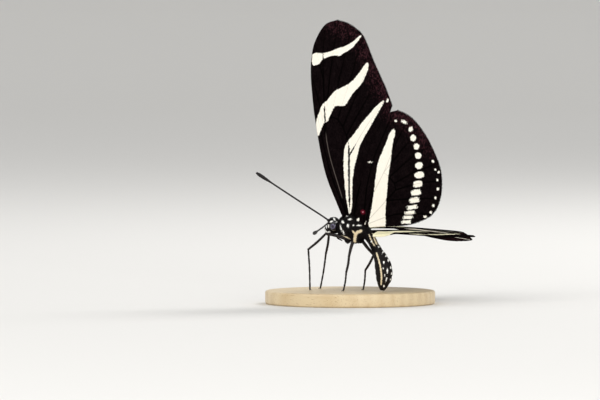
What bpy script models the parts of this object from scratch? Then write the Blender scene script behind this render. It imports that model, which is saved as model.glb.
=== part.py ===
"""Zebra longwing butterfly (Heliconius charithonia), a life-size still model on a plain thin base.

Metres, +Z up. The head points to -X and the body's left side is -Y. The origin is the centre of the
base's underside. The left wings are raised over the back, the right wings are spread and droop a
little, and the abdomen is curled down to the surface that the legs stand on.

Shapes are worked out in millimetres around the thorax centre and scaled to metres at the end.
"""

from math import cos, pi, radians, sin

import bmesh
import bpy
from mathutils import Matrix, Vector
from mathutils.geometry import delaunay_2d_cdt

METRE = 0.001
GAP = 0.3

BASE_RADIUS = 19.0
BASE_THICK = 3.0
BODY_ABOVE_BASE = 14.05
THORAX_CENTRE = Vector((2.5, -2.0, BASE_THICK + BODY_ABOVE_BASE))
FOOT_Z = GAP - BODY_ABOVE_BASE

# The thorax follows a stretch of a half circle from the neck, which is cut flat, to its closed rear.
NECK_X = -3.85
THORAX_REACH = 7.9
THORAX_WIDTH = 4.7
THORAX_HEIGHT = 6.1
THORAX_START = 0.16
THORAX_TURN = 0.80
THORAX_FULLNESS = 0.62
THORAX_TAPER = 0.10
THORAX_SAG = 0.35
THORAX_SAG_START = 0.55
THORAX_STATIONS = 11
THORAX_SIDES = 20
HEAD_CENTRE = Vector((-5.5, 0.0, 0.5))
HEAD_SIZE = Vector((3.2, 3.1, 3.9))
EYE_SIZE = Vector((1.7, 1.2, 2.1))
EYE_CENTRE = Vector((-5.05, 1.25, 0.35))

WING_SPAN = 46.3
MEMBRANE = 0.5
VEIN_HEIGHT = 0.18
VEIN_HALF_WIDTH = 0.5
WING_STEP = 2.6
RIM_STEP = 2.08
RIM_MARGIN = 1.0
VEIN_CLEARANCE = 1.1
POINT_MERGE = 0.22
LEFT_ROOT_Y = 0.95
LEFT_LEAN = 0.05
RIGHT_ROOT = Vector((3.0, 1.5, -0.6))
RIGHT_ROOT_T = 2.5
RIGHT_DROOP = radians(3.3)
RIGHT_PITCH = radians(-2.6)
TIP_DROOP = 1.7
FOREWING_LENGTH = 43.0
FOREWING_SWEEP = radians(2.5)
HINDWING_SWEEP = radians(-8.0)
LEFT_BOW = 0.5
RIGHT_BOW = 0.9
LEFT_CAMBER = 0.0045
RIGHT_CAMBER = 0.0007
CAMBER_START = 4.0
PAIR_GAP_ROOT = 0.45
PAIR_GAP = 1.3
PAIR_PARTING = (1.5, 6.5)
INNER_MARGIN_CURL = 0.8
CURL_OUTWARDS = (0.3, 2.9)
CURL_RISE = (3.2, 5.0)
CURL_FALL = (6.0, 10.5)

LEG_SIDES = 8
FEMUR_DIAMETER = 0.8
TIBIA_DIAMETER = 0.6
TARSUS_DIAMETER = 0.5
LEG_SWELL = 1.1
LEG_SWELL_AT = 0.3
LEG_TAPER_AT = 0.75
ANTENNA_DIAMETER = 0.5
ANTENNA_CLUB_DIAMETER = 0.95
ANTENNA_SIDES = 7
ANTENNA_STEP = 1.3
CLUB_RISE = (0.80, 0.92)
CLUB_FALL = (0.95, 1.0)
CLUB_TIP_LOSS = 0.6
TONGUE_DIAMETER = 0.36
TONGUE_SIDES = 6
COIL_CENTRE = Vector((-6.95, 0.0, -1.35))
COIL_RADIUS = 0.72
COIL_LOSS = 0.55
COIL_POINTS = 15
COIL_START = radians(75)
COIL_STEP = radians(27)
BASE_RIM = 0.5

# Wing outlines in the wing's own plane: s runs to the rear, t runs out from the thorax centre line.
FOREWING_OUTLINE = [
    (-1.5, 1.0), (-2.9, 3.2), (-5.6, 9.6), (-7.1, 15.2), (-8.4, 23.2), (-9.1, 29.5), (-9.4, 36.0),
    (-8.4, 41.2), (-5.9, 45.2), (-3.0, 46.3), (-0.1, 45.6), (2.2, 44.3), (4.0, 42.5), (6.4, 37.5),
    (9.6, 31.0), (11.1, 27.5), (10.2, 25.2), (8.0, 18.5), (5.4, 11.5), (3.3, 7.0), (2.1, 4.0), (1.6, 1.0),
]
HINDWING_OUTLINE = [
    (2.4, 0.8), (2.1, 4.4), (2.6, 8.8), (4.1, 14.2), (6.2, 19.3), (8.4, 23.2), (10.6, 25.7),
    (12.9, 26.4), (15.8, 25.2), (18.1, 23.2), (20.4, 20.3), (22.1, 17.0), (23.4, 13.6), (23.7, 10.3),
    (23.3, 7.4), (22.1, 4.8), (20.2, 3.0), (17.0, 1.7), (13.0, 0.9), (8.0, 0.6), (4.4, 0.3),
]
# Main veins, each a line of a few points in the same plane.
FOREWING_VEINS = {
    "subcosta": [(-1.4, 3.0), (-4.3, 10.0), (-6.5, 18.0), (-8.1, 26.0)],
    "radius": [(-0.9, 3.0), (-3.4, 10.0), (-5.4, 17.5), (-6.1, 23.5), (-6.2, 33.0)],
    "radius_1": [(-5.6, 18.5), (-6.7, 24.0), (-7.6, 28.5), (-8.8, 33.0)],
    "radius_3": [(-6.2, 33.0), (-7.5, 38.0), (-8.2, 40.8)],
    "radius_4": [(-6.2, 33.0), (-6.2, 39.0), (-5.8, 44.8)],
    "radius_5": [(-6.1, 23.5), (-4.4, 35.0), (-2.5, 45.9)],
    "media_1": [(-4.7, 24.6), (-1.8, 35.0), (0.9, 44.7)],
    "media_2": [(-2.9, 24.2), (0.6, 33.5), (3.7, 42.4)],
    "media_3": [(-1.6, 22.6), (2.4, 30.5), (6.0, 37.8)],
    "cubitus": [(-0.6, 4.0), (-0.5, 11.0), (-0.3, 18.2), (-0.8, 20.6), (-1.6, 22.6)],
    "cell_end": [(-1.6, 22.6), (-2.9, 24.2), (-4.7, 24.6), (-6.1, 23.5)],
    "cubitus_1": [(-0.8, 20.6), (3.4, 27.0), (8.0, 33.7)],
    "cubitus_2": [(-0.4, 16.0), (4.6, 23.0), (10.1, 29.6)],
    "anal": [(0.3, 3.6), (1.9, 8.5), (5.8, 17.5), (9.8, 26.0)],
}
HINDWING_VEINS = {
    "subcosta": [(3.3, 3.0), (4.4, 9.0), (7.0, 16.5), (11.6, 25.2)],
    "radius": [(3.9, 2.6), (5.6, 7.0), (9.0, 12.6), (12.2, 18.8), (16.0, 24.7)],
    "media_1": [(9.0, 12.6), (14.0, 17.8), (19.0, 22.2)],
    "media_2": [(10.4, 11.6), (16.0, 15.8), (21.3, 18.8)],
    "media_3": [(11.6, 10.2), (17.2, 12.9), (23.0, 14.8)],
    "cell_end": [(9.0, 12.6), (10.4, 11.6), (11.6, 10.2), (12.0, 8.8)],
    "cubitus": [(4.4, 2.3), (9.4, 6.4), (12.0, 8.8)],
    "cubitus_1": [(12.0, 8.8), (17.8, 10.3), (23.6, 11.0)],
    "cubitus_2": [(9.4, 6.4), (16.6, 6.9), (23.1, 7.1)],
    "anal": [(4.6, 1.7), (12.0, 3.4), (20.8, 3.5)],
}

# The abdomen's centre line in the sagittal plane: rear, up, width, height of the section.
ABDOMEN_STATIONS = [
    (2.2, -0.6, 2.2, 2.4), (4.0, -2.1, 2.0, 2.2), (5.3, -4.1, 1.9, 2.0), (6.4, -6.0, 2.7, 3.0),
    (7.3, -8.2, 3.5, 4.0), (7.6, -10.2, 3.5, 4.0), (7.4, -11.9, 2.9, 3.2), (7.1, -13.75, 1.0, 1.1),
]
ABDOMEN_RINGS = 8
ABDOMEN_SIDES = 16
ABDOMEN_STEPS = 10
RING_DEPTH = 0.07
ABDOMEN_PARTS = {"abdomen_front": (0.0, 0.36), "abdomen_middle": (0.36, 0.68), "abdomen_tip": (0.68, 1.0)}

# Leg joints: coxa, knee, ankle, foot, as rear, outward (away from the middle plane), up.
LEGS = {
    "leg_mid_left": [(-1.2, 1.2, -2.4), (-6.2, 2.3, -1.3), (-10.4, 3.0, -4.9), (-9.6, 3.6, FOOT_Z)],
    "leg_mid_right": [(-1.2, 1.2, -2.4), (-8.2, 2.2, -1.7), (-9.3, 2.7, -6.0), (-11.2, 3.4, FOOT_Z)],
    "leg_hind_left": [(0.3, 1.0, -2.4), (-0.2, 2.2, -6.2), (-0.5, 2.9, -9.8), (-1.0, 3.3, FOOT_Z)],
    "leg_hind_right": [(0.9, 1.0, -2.4), (3.5, 2.3, -6.0), (1.0, 2.8, -9.5), (0.2, 3.2, FOOT_Z)],
}
FORELEG = [(-2.6, 0.75, -1.7), (-4.2, 0.85, -2.3), (-3.0, 0.8, -3.1)]
FORELEG_RADII = [0.3, 0.28, 0.25]
ANTENNAE = {
    "antenna_left": [(-6.2, -0.45, 1.35), (-8.2, -1.3, 2.8), (-13.0, -3.6, 6.2), (-21.0, -8.0, 12.2)],
    "antenna_right": [(-6.0, 0.5, 1.1), (-8.0, 1.9, 1.0), (-12.4, 6.4, -0.3), (-18.7, 12.6, -2.1)],
}
PALP = [(-5.9, 0.55, -0.9), (-6.8, 0.6, -1.1), (-7.35, 0.62, -0.6), (-7.6, 0.62, 0.1)]
PALP_RADII = [0.34, 0.36, 0.32, 0.18]
TONGUE_ROOT = Vector((-6.0, 0.0, -0.6))

COLOURS = {
    "black": ("#120f0f", 0.75), "eye": ("#1b1416", 0.15), "brown": ("#2a211c", 0.6),
    "wood": ("#cdb48c", 0.5),
}


def srgb(hex_colour):
    """Turn a #rrggbb colour into linear RGBA for a shader."""
    channels = [int(hex_colour[i:i + 2], 16) / 255 for i in (1, 3, 5)]
    linear = [c / 12.92 if c <= 0.04045 else ((c + 0.055) / 1.055) ** 2.4 for c in channels]
    return (*linear, 1.0)


def material(name, colour_name):
    hex_colour, roughness = COLOURS[colour_name]
    made = bpy.data.materials.new(name)
    made.use_nodes = True
    shader = made.node_tree.nodes["Principled BSDF"]
    shader.inputs["Base Color"].default_value = srgb(hex_colour)
    shader.inputs["Roughness"].default_value = roughness
    shader.inputs["Metallic"].default_value = 0.0
    return made


def smooth(x, start=0.0, end=1.0):
    """0 before the start and 1 after the end, with flat ends between."""
    x = min(max((x - start) / (end - start), 0.0), 1.0)
    return x * x * (3 - 2 * x)


def spline(points, steps, closed=False):
    """Catmull-Rom curve through the points, with the given number of steps per stretch."""
    pts = [Vector(p) for p in points]
    count = len(pts)
    last = count if closed else count - 1
    out = []
    for i in range(last):
        if closed:
            p0, p1, p2, p3 = (pts[(i + k) % count] for k in (-1, 0, 1, 2))
        else:
            p0, p1, p2, p3 = (pts[min(max(i + k, 0), count - 1)] for k in (-1, 0, 1, 2))
        for k in range(steps):
            u = k / steps
            out.append(0.5 * (
                2 * p1 + (p2 - p0) * u + (2 * p0 - 5 * p1 + 4 * p2 - p3) * u * u
                + (3 * p1 - p0 - 3 * p2 + p3) * u ** 3
            ))
    if not closed:
        out.append(pts[-1])
    return out


def resample(points, step, closed=False):
    """Points at an even spacing near step along a dense line."""
    line = list(points) + ([points[0]] if closed else [])
    lengths = [0.0]
    for a, b in zip(line, line[1:]):
        lengths.append(lengths[-1] + (b - a).length)
    count = max(2, round(lengths[-1] / step))
    out = []
    j = 0
    for i in range(count if closed else count + 1):
        target = lengths[-1] * i / count
        while j < len(line) - 2 and lengths[j + 1] < target:
            j += 1
        run = lengths[j + 1] - lengths[j]
        out.append(line[j].lerp(line[j + 1], (target - lengths[j]) / run if run else 0.0))
    return out


def new_object(name, bm, colour_name="black"):
    """Store a bmesh as an object, still in millimetres around the thorax centre."""
    bmesh.ops.recalc_face_normals(bm, faces=bm.faces)
    mesh = bpy.data.meshes.new(name)
    bm.to_mesh(mesh)
    bm.free()
    obj = bpy.data.objects.new(name, mesh)
    bpy.context.scene.collection.objects.link(obj)
    mesh.materials.append(material(name, colour_name))
    return obj


def loft(bm, rings):
    """Bridge closed rings of equal counts and cap both ends."""
    rows = [[bm.verts.new(p) for p in ring] for ring in rings]
    for row, following in zip(rows, rows[1:]):
        for i in range(len(row)):
            j = (i + 1) % len(row)
            bm.faces.new((row[i], row[j], following[j], following[i]))
    bm.faces.new(reversed(rows[0]))
    bm.faces.new(rows[-1])


def largest_body(obj):
    """Drop loose scraps that a cut left, keeping the largest closed surface."""
    bm = bmesh.new()
    bm.from_mesh(obj.data)
    left = set(bm.faces)
    bodies = []
    while left:
        stack = [left.pop()]
        body = list(stack)
        while stack:
            for edge in stack.pop().edges:
                for face in edge.link_faces:
                    if face in left:
                        left.remove(face)
                        stack.append(face)
                        body.append(face)
        bodies.append(body)
    bodies.sort(key=lambda body: sum(face.calc_area() for face in body))
    scraps = [face for body in bodies[:-1] for face in body]
    if scraps:
        bmesh.ops.delete(bm, geom=scraps, context="FACES")
    bmesh.ops.triangulate(bm, faces=bm.faces)
    bmesh.ops.remove_doubles(bm, verts=bm.verts, dist=0.004)
    bm.to_mesh(obj.data)
    bm.free()


def grown(obj, amount):
    """A copy of a solid pushed out along its normals, to cut its neighbours clear of it."""
    bm = bmesh.new()
    bm.from_mesh(obj.data)
    bm.normal_update()
    moves = [vert.normal.copy() * (amount * vert.calc_shell_factor()) for vert in bm.verts]
    for vert, move in zip(bm.verts, moves):
        vert.co += move
    mesh = bpy.data.meshes.new(obj.name + "_grown")
    bm.to_mesh(mesh)
    bm.free()
    cutter = bpy.data.objects.new(mesh.name, mesh)
    cutter.display_type = "WIRE"
    cutter.hide_render = True
    bpy.context.scene.collection.objects.link(cutter)
    return cutter


def cut_clear(obj, *neighbours):
    """Cut the object back from its neighbours, leaving the gap that touching solids keep."""
    for neighbour in neighbours:
        cutter = grown(neighbour, GAP)
        cut = obj.modifiers.new("clear", "BOOLEAN")
        cut.operation = "DIFFERENCE"
        cut.solver = "EXACT"
        cut.object = cutter
        bpy.context.view_layer.update()
        evaluated = obj.evaluated_get(bpy.context.evaluated_depsgraph_get())
        mesh = bpy.data.meshes.new_from_object(evaluated)
        obj.modifiers.clear()
        old = obj.data
        obj.data = mesh
        bpy.data.meshes.remove(old)
        bpy.data.objects.remove(cutter)
        largest_body(obj)
    return obj


def ellipsoid(name, centre, size, colour_name="black", segments=16, rings=10):
    bm = bmesh.new()
    bmesh.ops.create_uvsphere(bm, u_segments=segments, v_segments=rings, radius=0.5)
    bmesh.ops.transform(bm, matrix=Matrix.Translation(centre) @ Matrix.Diagonal((*size, 1)), verts=bm.verts)
    return new_object(name, bm, colour_name)


def thorax():
    """Barrel with a humped back, flat at the neck."""
    bm = bmesh.new()
    rings = []
    whole = 1 - cos(pi * (THORAX_START + THORAX_TURN))
    for i in range(THORAX_STATIONS):
        u = i / (THORAX_STATIONS - 1)
        turn = pi * (THORAX_START + THORAX_TURN * u)
        x = NECK_X + THORAX_REACH * (cos(pi * THORAX_START) - cos(turn)) / whole
        full = sin(turn) ** THORAX_FULLNESS
        half_width = THORAX_WIDTH / 2 * full
        half_height = THORAX_HEIGHT / 2 * full * (1 - THORAX_TAPER * smooth(u))
        middle = -THORAX_SAG * smooth(u, THORAX_SAG_START)
        ring = []
        for k in range(THORAX_SIDES):
            angle = 2 * pi * k / THORAX_SIDES
            ring.append(Vector((x, half_width * cos(angle), middle + half_height * sin(angle))))
        rings.append(ring)
    loft(bm, rings)
    return new_object("thorax", bm)


def head_and_eyes(thorax_solid):
    head = ellipsoid("head", HEAD_CENTRE, HEAD_SIZE, segments=18, rings=12)
    cut_clear(head, thorax_solid)
    for side, name in ((-1, "eye_left"), (1, "eye_right")):
        centre = Vector((EYE_CENTRE.x, side * EYE_CENTRE.y, EYE_CENTRE.z))
        eye = ellipsoid(name, centre, EYE_SIZE, "eye", segments=14, rings=9)
        cut_clear(head, eye)
    return head


def tube_rings(points, radii, sides, end_normals=(None, None)):
    """Rings around a line, each in the plane that halves its bend, or in a given end plane."""
    rings = []
    up = Vector((0.12, 0.95, 0.28))
    for i, point in enumerate(points):
        back = (point - points[i - 1]).normalized() if i else None
        ahead = (points[i + 1] - point).normalized() if i < len(points) - 1 else None
        along = (back or ahead) + (ahead or back)
        along.normalize()
        normal = along
        if i == 0 and end_normals[0]:
            normal = end_normals[0]
        if i == len(points) - 1 and end_normals[1]:
            normal = end_normals[1]
        side = along.cross(up).normalized()
        top = side.cross(along).normalized()
        ring = []
        for k in range(sides):
            angle = 2 * pi * k / sides
            arm = (side * cos(angle) + top * sin(angle)) * radii[i]
            slide = -arm.dot(normal) / along.dot(normal)
            ring.append(point + arm + along * slide)
        rings.append(ring)
    return rings


def tube(name, points, radii, sides=LEG_SIDES, end_normals=(None, None), colour_name="black"):
    bm = bmesh.new()
    loft(bm, tube_rings(points, radii, sides, end_normals))
    return new_object(name, bm, colour_name)


def abdomen(thorax_solid):
    """A curled, ringed taper in three lengths that face each other across flat cuts."""
    dense = spline([(x, z, 0.0) for x, z, _, _ in ABDOMEN_STATIONS], 12)
    sizes = spline([(w, h, 0.0) for _, _, w, h in ABDOMEN_STATIONS], 12)
    last = len(dense) - 1

    def ring_at(u, shift=0.0):
        place = u * last
        i = min(int(place), last - 1)
        centre = dense[i].lerp(dense[i + 1], place - i)
        size = sizes[i].lerp(sizes[i + 1], place - i)
        a, b = max(i - 2, 0), min(i + 3, last)
        along = (dense[b] - dense[a]).normalized()
        wave = abs(sin(pi * ABDOMEN_RINGS * u))
        swell = 1 - RING_DEPTH * (1 - wave ** 0.5)
        across = Vector((-along.y, along.x, 0.0))
        out = []
        for k in range(ABDOMEN_SIDES):
            angle = 2 * pi * k / ABDOMEN_SIDES
            spot = centre + along * shift + across * (size.y / 2 * swell * sin(angle))
            out.append(Vector((spot.x, size.x / 2 * swell * cos(angle), spot.y)))
        return out

    solids = []
    for name, (start, end) in ABDOMEN_PARTS.items():
        bm = bmesh.new()
        rings = []
        for i in range(ABDOMEN_STEPS + 1):
            u = start + (end - start) * i / ABDOMEN_STEPS
            inner_start = i == 0 and start > 0
            inner_end = i == ABDOMEN_STEPS and end < 1
            shift = GAP / 2 if inner_start else -GAP / 2 if inner_end else 0.0
            rings.append(ring_at(u, shift))
        if end == 1.0:
            for corner in rings[-1]:
                corner.z = FOOT_Z
        loft(bm, rings)
        solids.append(new_object(name, bm))
    cut_clear(solids[0], thorax_solid)
    return solids


def under_side(s, t, is_hind, wing_bow, wing_camber):
    """How far a wing lies towards its underside: bow, curved front edge and place in the pair."""
    bow = wing_bow * sin(pi * t / WING_SPAN)
    camber = wing_camber * max(0.0, CAMBER_START - s) ** 2
    apart = PAIR_GAP_ROOT + (PAIR_GAP - PAIR_GAP_ROOT) * smooth(t, *PAIR_PARTING)
    return bow, camber + (apart / 2 if is_hind else -apart / 2)


def left_place(s, t, is_hind):
    """A point of the left wings, raised nearly upright over the back."""
    bow, under = under_side(s, t, is_hind, LEFT_BOW, LEFT_CAMBER)
    return Vector((s, -(LEFT_ROOT_Y + LEFT_LEAN * t + bow + under), t))


def right_place(s, t, is_hind):
    """A point of the right wings, spread out to the side with a small droop."""
    bow, under = under_side(s, t, is_hind, RIGHT_BOW, RIGHT_CAMBER)
    sweep = HINDWING_SWEEP if is_hind else FOREWING_SWEEP
    back, out = s - RIGHT_ROOT.x, t - RIGHT_ROOT_T
    back, out = back * cos(sweep) + out * sin(sweep), out * cos(sweep) - back * sin(sweep)
    droop = out * sin(RIGHT_DROOP) + TIP_DROOP * max(0.0, out / FOREWING_LENGTH) ** 3
    z = RIGHT_ROOT.z + back * sin(RIGHT_PITCH) - droop + bow - under
    if is_hind:
        folded = smooth(s, *CURL_RISE) * (1 - smooth(s, *CURL_FALL))
        z -= INNER_MARGIN_CURL * (1 - smooth(t, *CURL_OUTWARDS)) * folded
    return Vector((RIGHT_ROOT.x + back, RIGHT_ROOT.y + out * cos(RIGHT_DROOP), z))


def distance_to_line(point, line):
    best = 1e9
    for a, b in zip(line, line[1:]):
        run = b - a
        u = min(max((point - a).dot(run) / run.length_squared, 0.0), 1.0)
        best = min(best, (point - a - run * u).length)
    return best


def inside(point, loop):
    crossings = False
    for a, b in zip(loop, loop[1:] + loop[:1]):
        if (a.y > point.y) != (b.y > point.y):
            if point.x < a.x + (b.x - a.x) * (point.y - a.y) / (b.y - a.y):
                crossings = not crossings
    return crossings


def wing_plan(outline, veins):
    """Triangles of the wing in its own plane, with points along both sides of each vein."""
    loop = resample(spline(outline, 8, closed=True), RIM_STEP, closed=True)
    closed_loop = loop + loop[:1]
    lines = [resample(spline(line, 8), WING_STEP) for line in veins.values()]
    points = list(loop)
    edges = []
    margin = VEIN_HALF_WIDTH * 0.9

    def add(point):
        for i, old in enumerate(points):
            if (old - point).length < POINT_MERGE:
                return i
        points.append(point)
        return len(points) - 1

    for line in lines:
        row = [add(p) for p in line if inside(p, loop) and distance_to_line(p, closed_loop) > margin]
        edges += [(a, b) for a, b in zip(row, row[1:]) if a != b]
    centres = len(points)
    for line in lines:
        for i, p in enumerate(line):
            along = (line[min(i + 1, len(line) - 1)] - line[max(i - 1, 0)]).normalized()
            for side in (-1, 1):
                flank = p + Vector((-along.y, along.x)) * (side * VEIN_HALF_WIDTH)
                near = min(distance_to_line(flank, other) for other in lines)
                if near < VEIN_HALF_WIDTH * 0.85 or not inside(flank, loop):
                    continue
                if distance_to_line(flank, closed_loop) > 0.45:
                    add(flank)
    low = Vector((min(p.x for p in loop), min(p.y for p in loop)))
    high = Vector((max(p.x for p in loop), max(p.y for p in loop)))
    row_count = int((high.y - low.y) / WING_STEP) + 1
    for j in range(row_count):
        for i in range(int((high.x - low.x) / WING_STEP) + 2):
            p = Vector((low.x + (i + 0.5 * (j % 2)) * WING_STEP, low.y + j * WING_STEP))
            if not inside(p, loop) or distance_to_line(p, closed_loop) < RIM_MARGIN:
                continue
            if min(distance_to_line(p, line) for line in lines) > VEIN_CLEARANCE:
                add(p)
    face = [list(range(len(loop)))]
    plan = delaunay_2d_cdt([p.to_2d() for p in points], edges, face, 1, 1e-5)
    heights = []
    for p in plan[0]:
        near = min(distance_to_line(p, line) for line in lines)
        at_edge = smooth(distance_to_line(p, closed_loop) / 0.6)
        heights.append(VEIN_HEIGHT * max(0.0, 1 - near / VEIN_HALF_WIDTH) * at_edge)
    return plan[0], plan[2], heights


def wing(name, outline, veins, place, is_hind, body_solids):
    """A thin bent sheet: both faces share one set of triangles, and a rim closes them."""
    plan, triangles, heights = wing_plan(outline, veins)
    bm = bmesh.new()
    faces = {}
    for side in (1, -1):
        rows = []
        for p, height in zip(plan, heights):
            here = place(p.x, p.y, is_hind)
            ds = place(p.x + 0.05, p.y, is_hind) - here
            dt = place(p.x, p.y + 0.05, is_hind) - here
            normal = ds.cross(dt).normalized()
            rows.append(bm.verts.new(here + normal * (side * (MEMBRANE / 2 + height))))
        faces[side] = rows
        for tri in triangles:
            corners = [rows[i] for i in tri]
            bm.faces.new(corners if side > 0 else corners[::-1])
    uses = {}
    for tri in triangles:
        for a, b in zip(tri, tri[1:] + tri[:1]):
            uses[(a, b)] = True
    for a, b in uses:
        if (b, a) not in uses:
            top, under = faces[1], faces[-1]
            bm.faces.new((top[b], top[a], under[a], under[b]))
    bmesh.ops.triangulate(bm, faces=[f for f in bm.faces if len(f.verts) > 3])
    solid = new_object(name, bm)
    return cut_clear(solid, *body_solids)


def legs(thorax_solid):
    """Each walking leg is a femur, a tibia and a tarsus that meet across mitred joints."""
    diameters = {"femur": FEMUR_DIAMETER, "tibia": TIBIA_DIAMETER, "tarsus": TARSUS_DIAMETER}
    for leg, joints in LEGS.items():
        side = -1 if leg.endswith("left") else 1
        points = [Vector((x, side * y, z)) for x, y, z in joints]
        runs = [(b - a).normalized() for a, b in zip(points, points[1:])]
        planes = [runs[0]] + [(a + b).normalized() for a, b in zip(runs, runs[1:])]
        planes.append(Vector((0, 0, -1)))
        for i, (segment, diameter) in enumerate(diameters.items()):
            start = points[i] + runs[i] * (GAP / 2 / runs[i].dot(planes[i]) if i else 0.0)
            end = points[i + 1]
            if i < 2:
                end = end - runs[i] * (GAP / 2 / runs[i].dot(planes[i + 1]))
            marks = [start, start.lerp(end, LEG_SWELL_AT), start.lerp(end, LEG_TAPER_AT), end]
            following = list(diameters.values())[min(i + 1, 2)]
            radii = [diameter / 2, diameter / 2 * LEG_SWELL, (diameter + following) / 4, following / 2]
            solid = tube(f"{leg}_{segment}", marks, radii, end_normals=(planes[i], planes[i + 1]))
            if i == 0:
                cut_clear(solid, thorax_solid)


def forelegs(thorax_solid):
    """The small front legs, kept folded against the chest."""
    for side, name in ((-1, "foreleg_left"), (1, "foreleg_right")):
        points = [Vector((x, side * y, z)) for x, y, z in FORELEG]
        cut_clear(tube(name, points, FORELEG_RADII), thorax_solid)


def antennae(head):
    """Long straight feelers that thicken into a club at the tip."""
    for name, route in ANTENNAE.items():
        line = resample(spline(route, 8), ANTENNA_STEP)
        radii = []
        for i in range(len(line)):
            u = i / (len(line) - 1)
            club = smooth(u, *CLUB_RISE) * (1 - CLUB_TIP_LOSS * smooth(u, *CLUB_FALL))
            radii.append(ANTENNA_DIAMETER / 2 + (ANTENNA_CLUB_DIAMETER - ANTENNA_DIAMETER) / 2 * club)
        cut_clear(tube(name, line, radii, sides=ANTENNA_SIDES), head)


def mouthparts(head):
    """Two upturned palps in front of the face and the coiled tongue between them."""
    for side, name in ((-1, "palp_left"), (1, "palp_right")):
        line = [Vector((x, side * y, z)) for x, y, z in PALP]
        cut_clear(tube(name, line, PALP_RADII), head)
    line = [TONGUE_ROOT]
    for i in range(COIL_POINTS):
        angle = COIL_START + COIL_STEP * i
        radius = COIL_RADIUS * (1 - COIL_LOSS * i / COIL_POINTS)
        line.append(COIL_CENTRE + Vector((cos(angle), 0.0, sin(angle))) * radius)
    radii = [TONGUE_DIAMETER / 2] * len(line)
    cut_clear(tube("proboscis", line, radii, sides=TONGUE_SIDES, colour_name="brown"), head)


def stand():
    """The plain round plate that the feet rest on, with a softened rim."""
    bm = bmesh.new()
    centre = Vector((0, 0, BASE_THICK / 2)) - THORAX_CENTRE
    bmesh.ops.create_cone(
        bm, cap_ends=True, segments=64, radius1=BASE_RADIUS, radius2=BASE_RADIUS, depth=BASE_THICK,
        matrix=Matrix.Translation(centre),
    )
    rims = [edge for edge in bm.edges if len(edge.link_faces) == 2
            and max(len(face.verts) for face in edge.link_faces) > 4]
    bmesh.ops.bevel(bm, geom=rims, offset=BASE_RIM, segments=2, profile=0.5, affect="EDGES")
    return new_object("stand_base", bm, "wood")


def to_metres():
    """Move every solid from millimetres round the thorax to metres on the base's underside."""
    matrix = Matrix.Scale(METRE, 4) @ Matrix.Translation(THORAX_CENTRE)
    for obj in bpy.data.objects:
        obj.data.transform(matrix)
        obj.data.shade_smooth()
        obj.data.set_sharp_from_angle(angle=radians(35))


def main():
    for obj in list(bpy.data.objects):
        bpy.data.objects.remove(obj)
    chest = thorax()
    head = head_and_eyes(chest)
    abdomen_solids = abdomen(chest)
    body = [chest, abdomen_solids[0]]
    wing("forewing_left", FOREWING_OUTLINE, FOREWING_VEINS, left_place, False, body)
    wing("hindwing_left", HINDWING_OUTLINE, HINDWING_VEINS, left_place, True, body)
    wing("forewing_right", FOREWING_OUTLINE, FOREWING_VEINS, right_place, False, body)
    wing("hindwing_right", HINDWING_OUTLINE, HINDWING_VEINS, right_place, True, body)
    legs(chest)
    forelegs(chest)
    antennae(head)
    mouthparts(head)
    stand()
    to_metres()


main()
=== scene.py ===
"""Looks of the zebra longwing butterfly model: wings, furred body, eyes, feelers, legs and base.

Shapes are laid out in millimetres around the thorax centre, which is read from the frame, and each
mesh is moved to metres in the frame as it is finished. The head points to -X and the left side to -Y.
"""

from math import cos, pi, radians, sin

import bmesh
import bpy
import numpy as np
from mathutils import Matrix, Vector
from mathutils.bvhtree import BVHTree


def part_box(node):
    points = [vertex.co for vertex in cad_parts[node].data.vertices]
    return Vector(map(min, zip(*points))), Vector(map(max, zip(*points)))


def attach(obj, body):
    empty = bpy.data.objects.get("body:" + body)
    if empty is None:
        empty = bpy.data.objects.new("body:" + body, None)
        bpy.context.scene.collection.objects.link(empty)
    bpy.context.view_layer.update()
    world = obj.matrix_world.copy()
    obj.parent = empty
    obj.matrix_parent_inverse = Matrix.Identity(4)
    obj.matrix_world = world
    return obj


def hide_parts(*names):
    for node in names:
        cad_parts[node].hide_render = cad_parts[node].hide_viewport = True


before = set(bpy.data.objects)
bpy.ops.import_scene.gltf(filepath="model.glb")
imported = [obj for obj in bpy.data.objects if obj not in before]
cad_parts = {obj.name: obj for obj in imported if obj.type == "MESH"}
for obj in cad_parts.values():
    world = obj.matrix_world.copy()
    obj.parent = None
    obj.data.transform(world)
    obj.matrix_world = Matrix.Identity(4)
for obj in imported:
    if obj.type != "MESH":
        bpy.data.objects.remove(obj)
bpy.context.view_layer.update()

METRE = 0.001

# Places taken from the frame, in millimetres
THORAX_LOW, THORAX_HIGH = (Vector(corner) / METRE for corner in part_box("thorax"))
BASE_LOW, BASE_HIGH = (Vector(corner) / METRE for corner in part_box("stand_base"))
BODY_ABOVE_BASE = 14.05
NECK_X = -3.85
CENTRE_Y = (THORAX_LOW.y + THORAX_HIGH.y) / 2
CENTRE = Vector((THORAX_LOW.x - NECK_X, CENTRE_Y, BASE_HIGH.z + BODY_ABOVE_BASE))
FLOOR_OF_FEET = -BODY_ABOVE_BASE

# The photograph's view of the thorax centre
IMAGE_WIDTH, IMAGE_HEIGHT = 600, 400
THORAX_PIXEL = (355.0, 228.0)
MM_PER_PIXEL = 0.223
VIEW_TURN = radians(32)
VIEW_RISE = radians(2)
LENS = 400
SENSOR = 36

# Farther than any marking, and than the body reaches, in millimetres
FAR = 50.0

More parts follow.
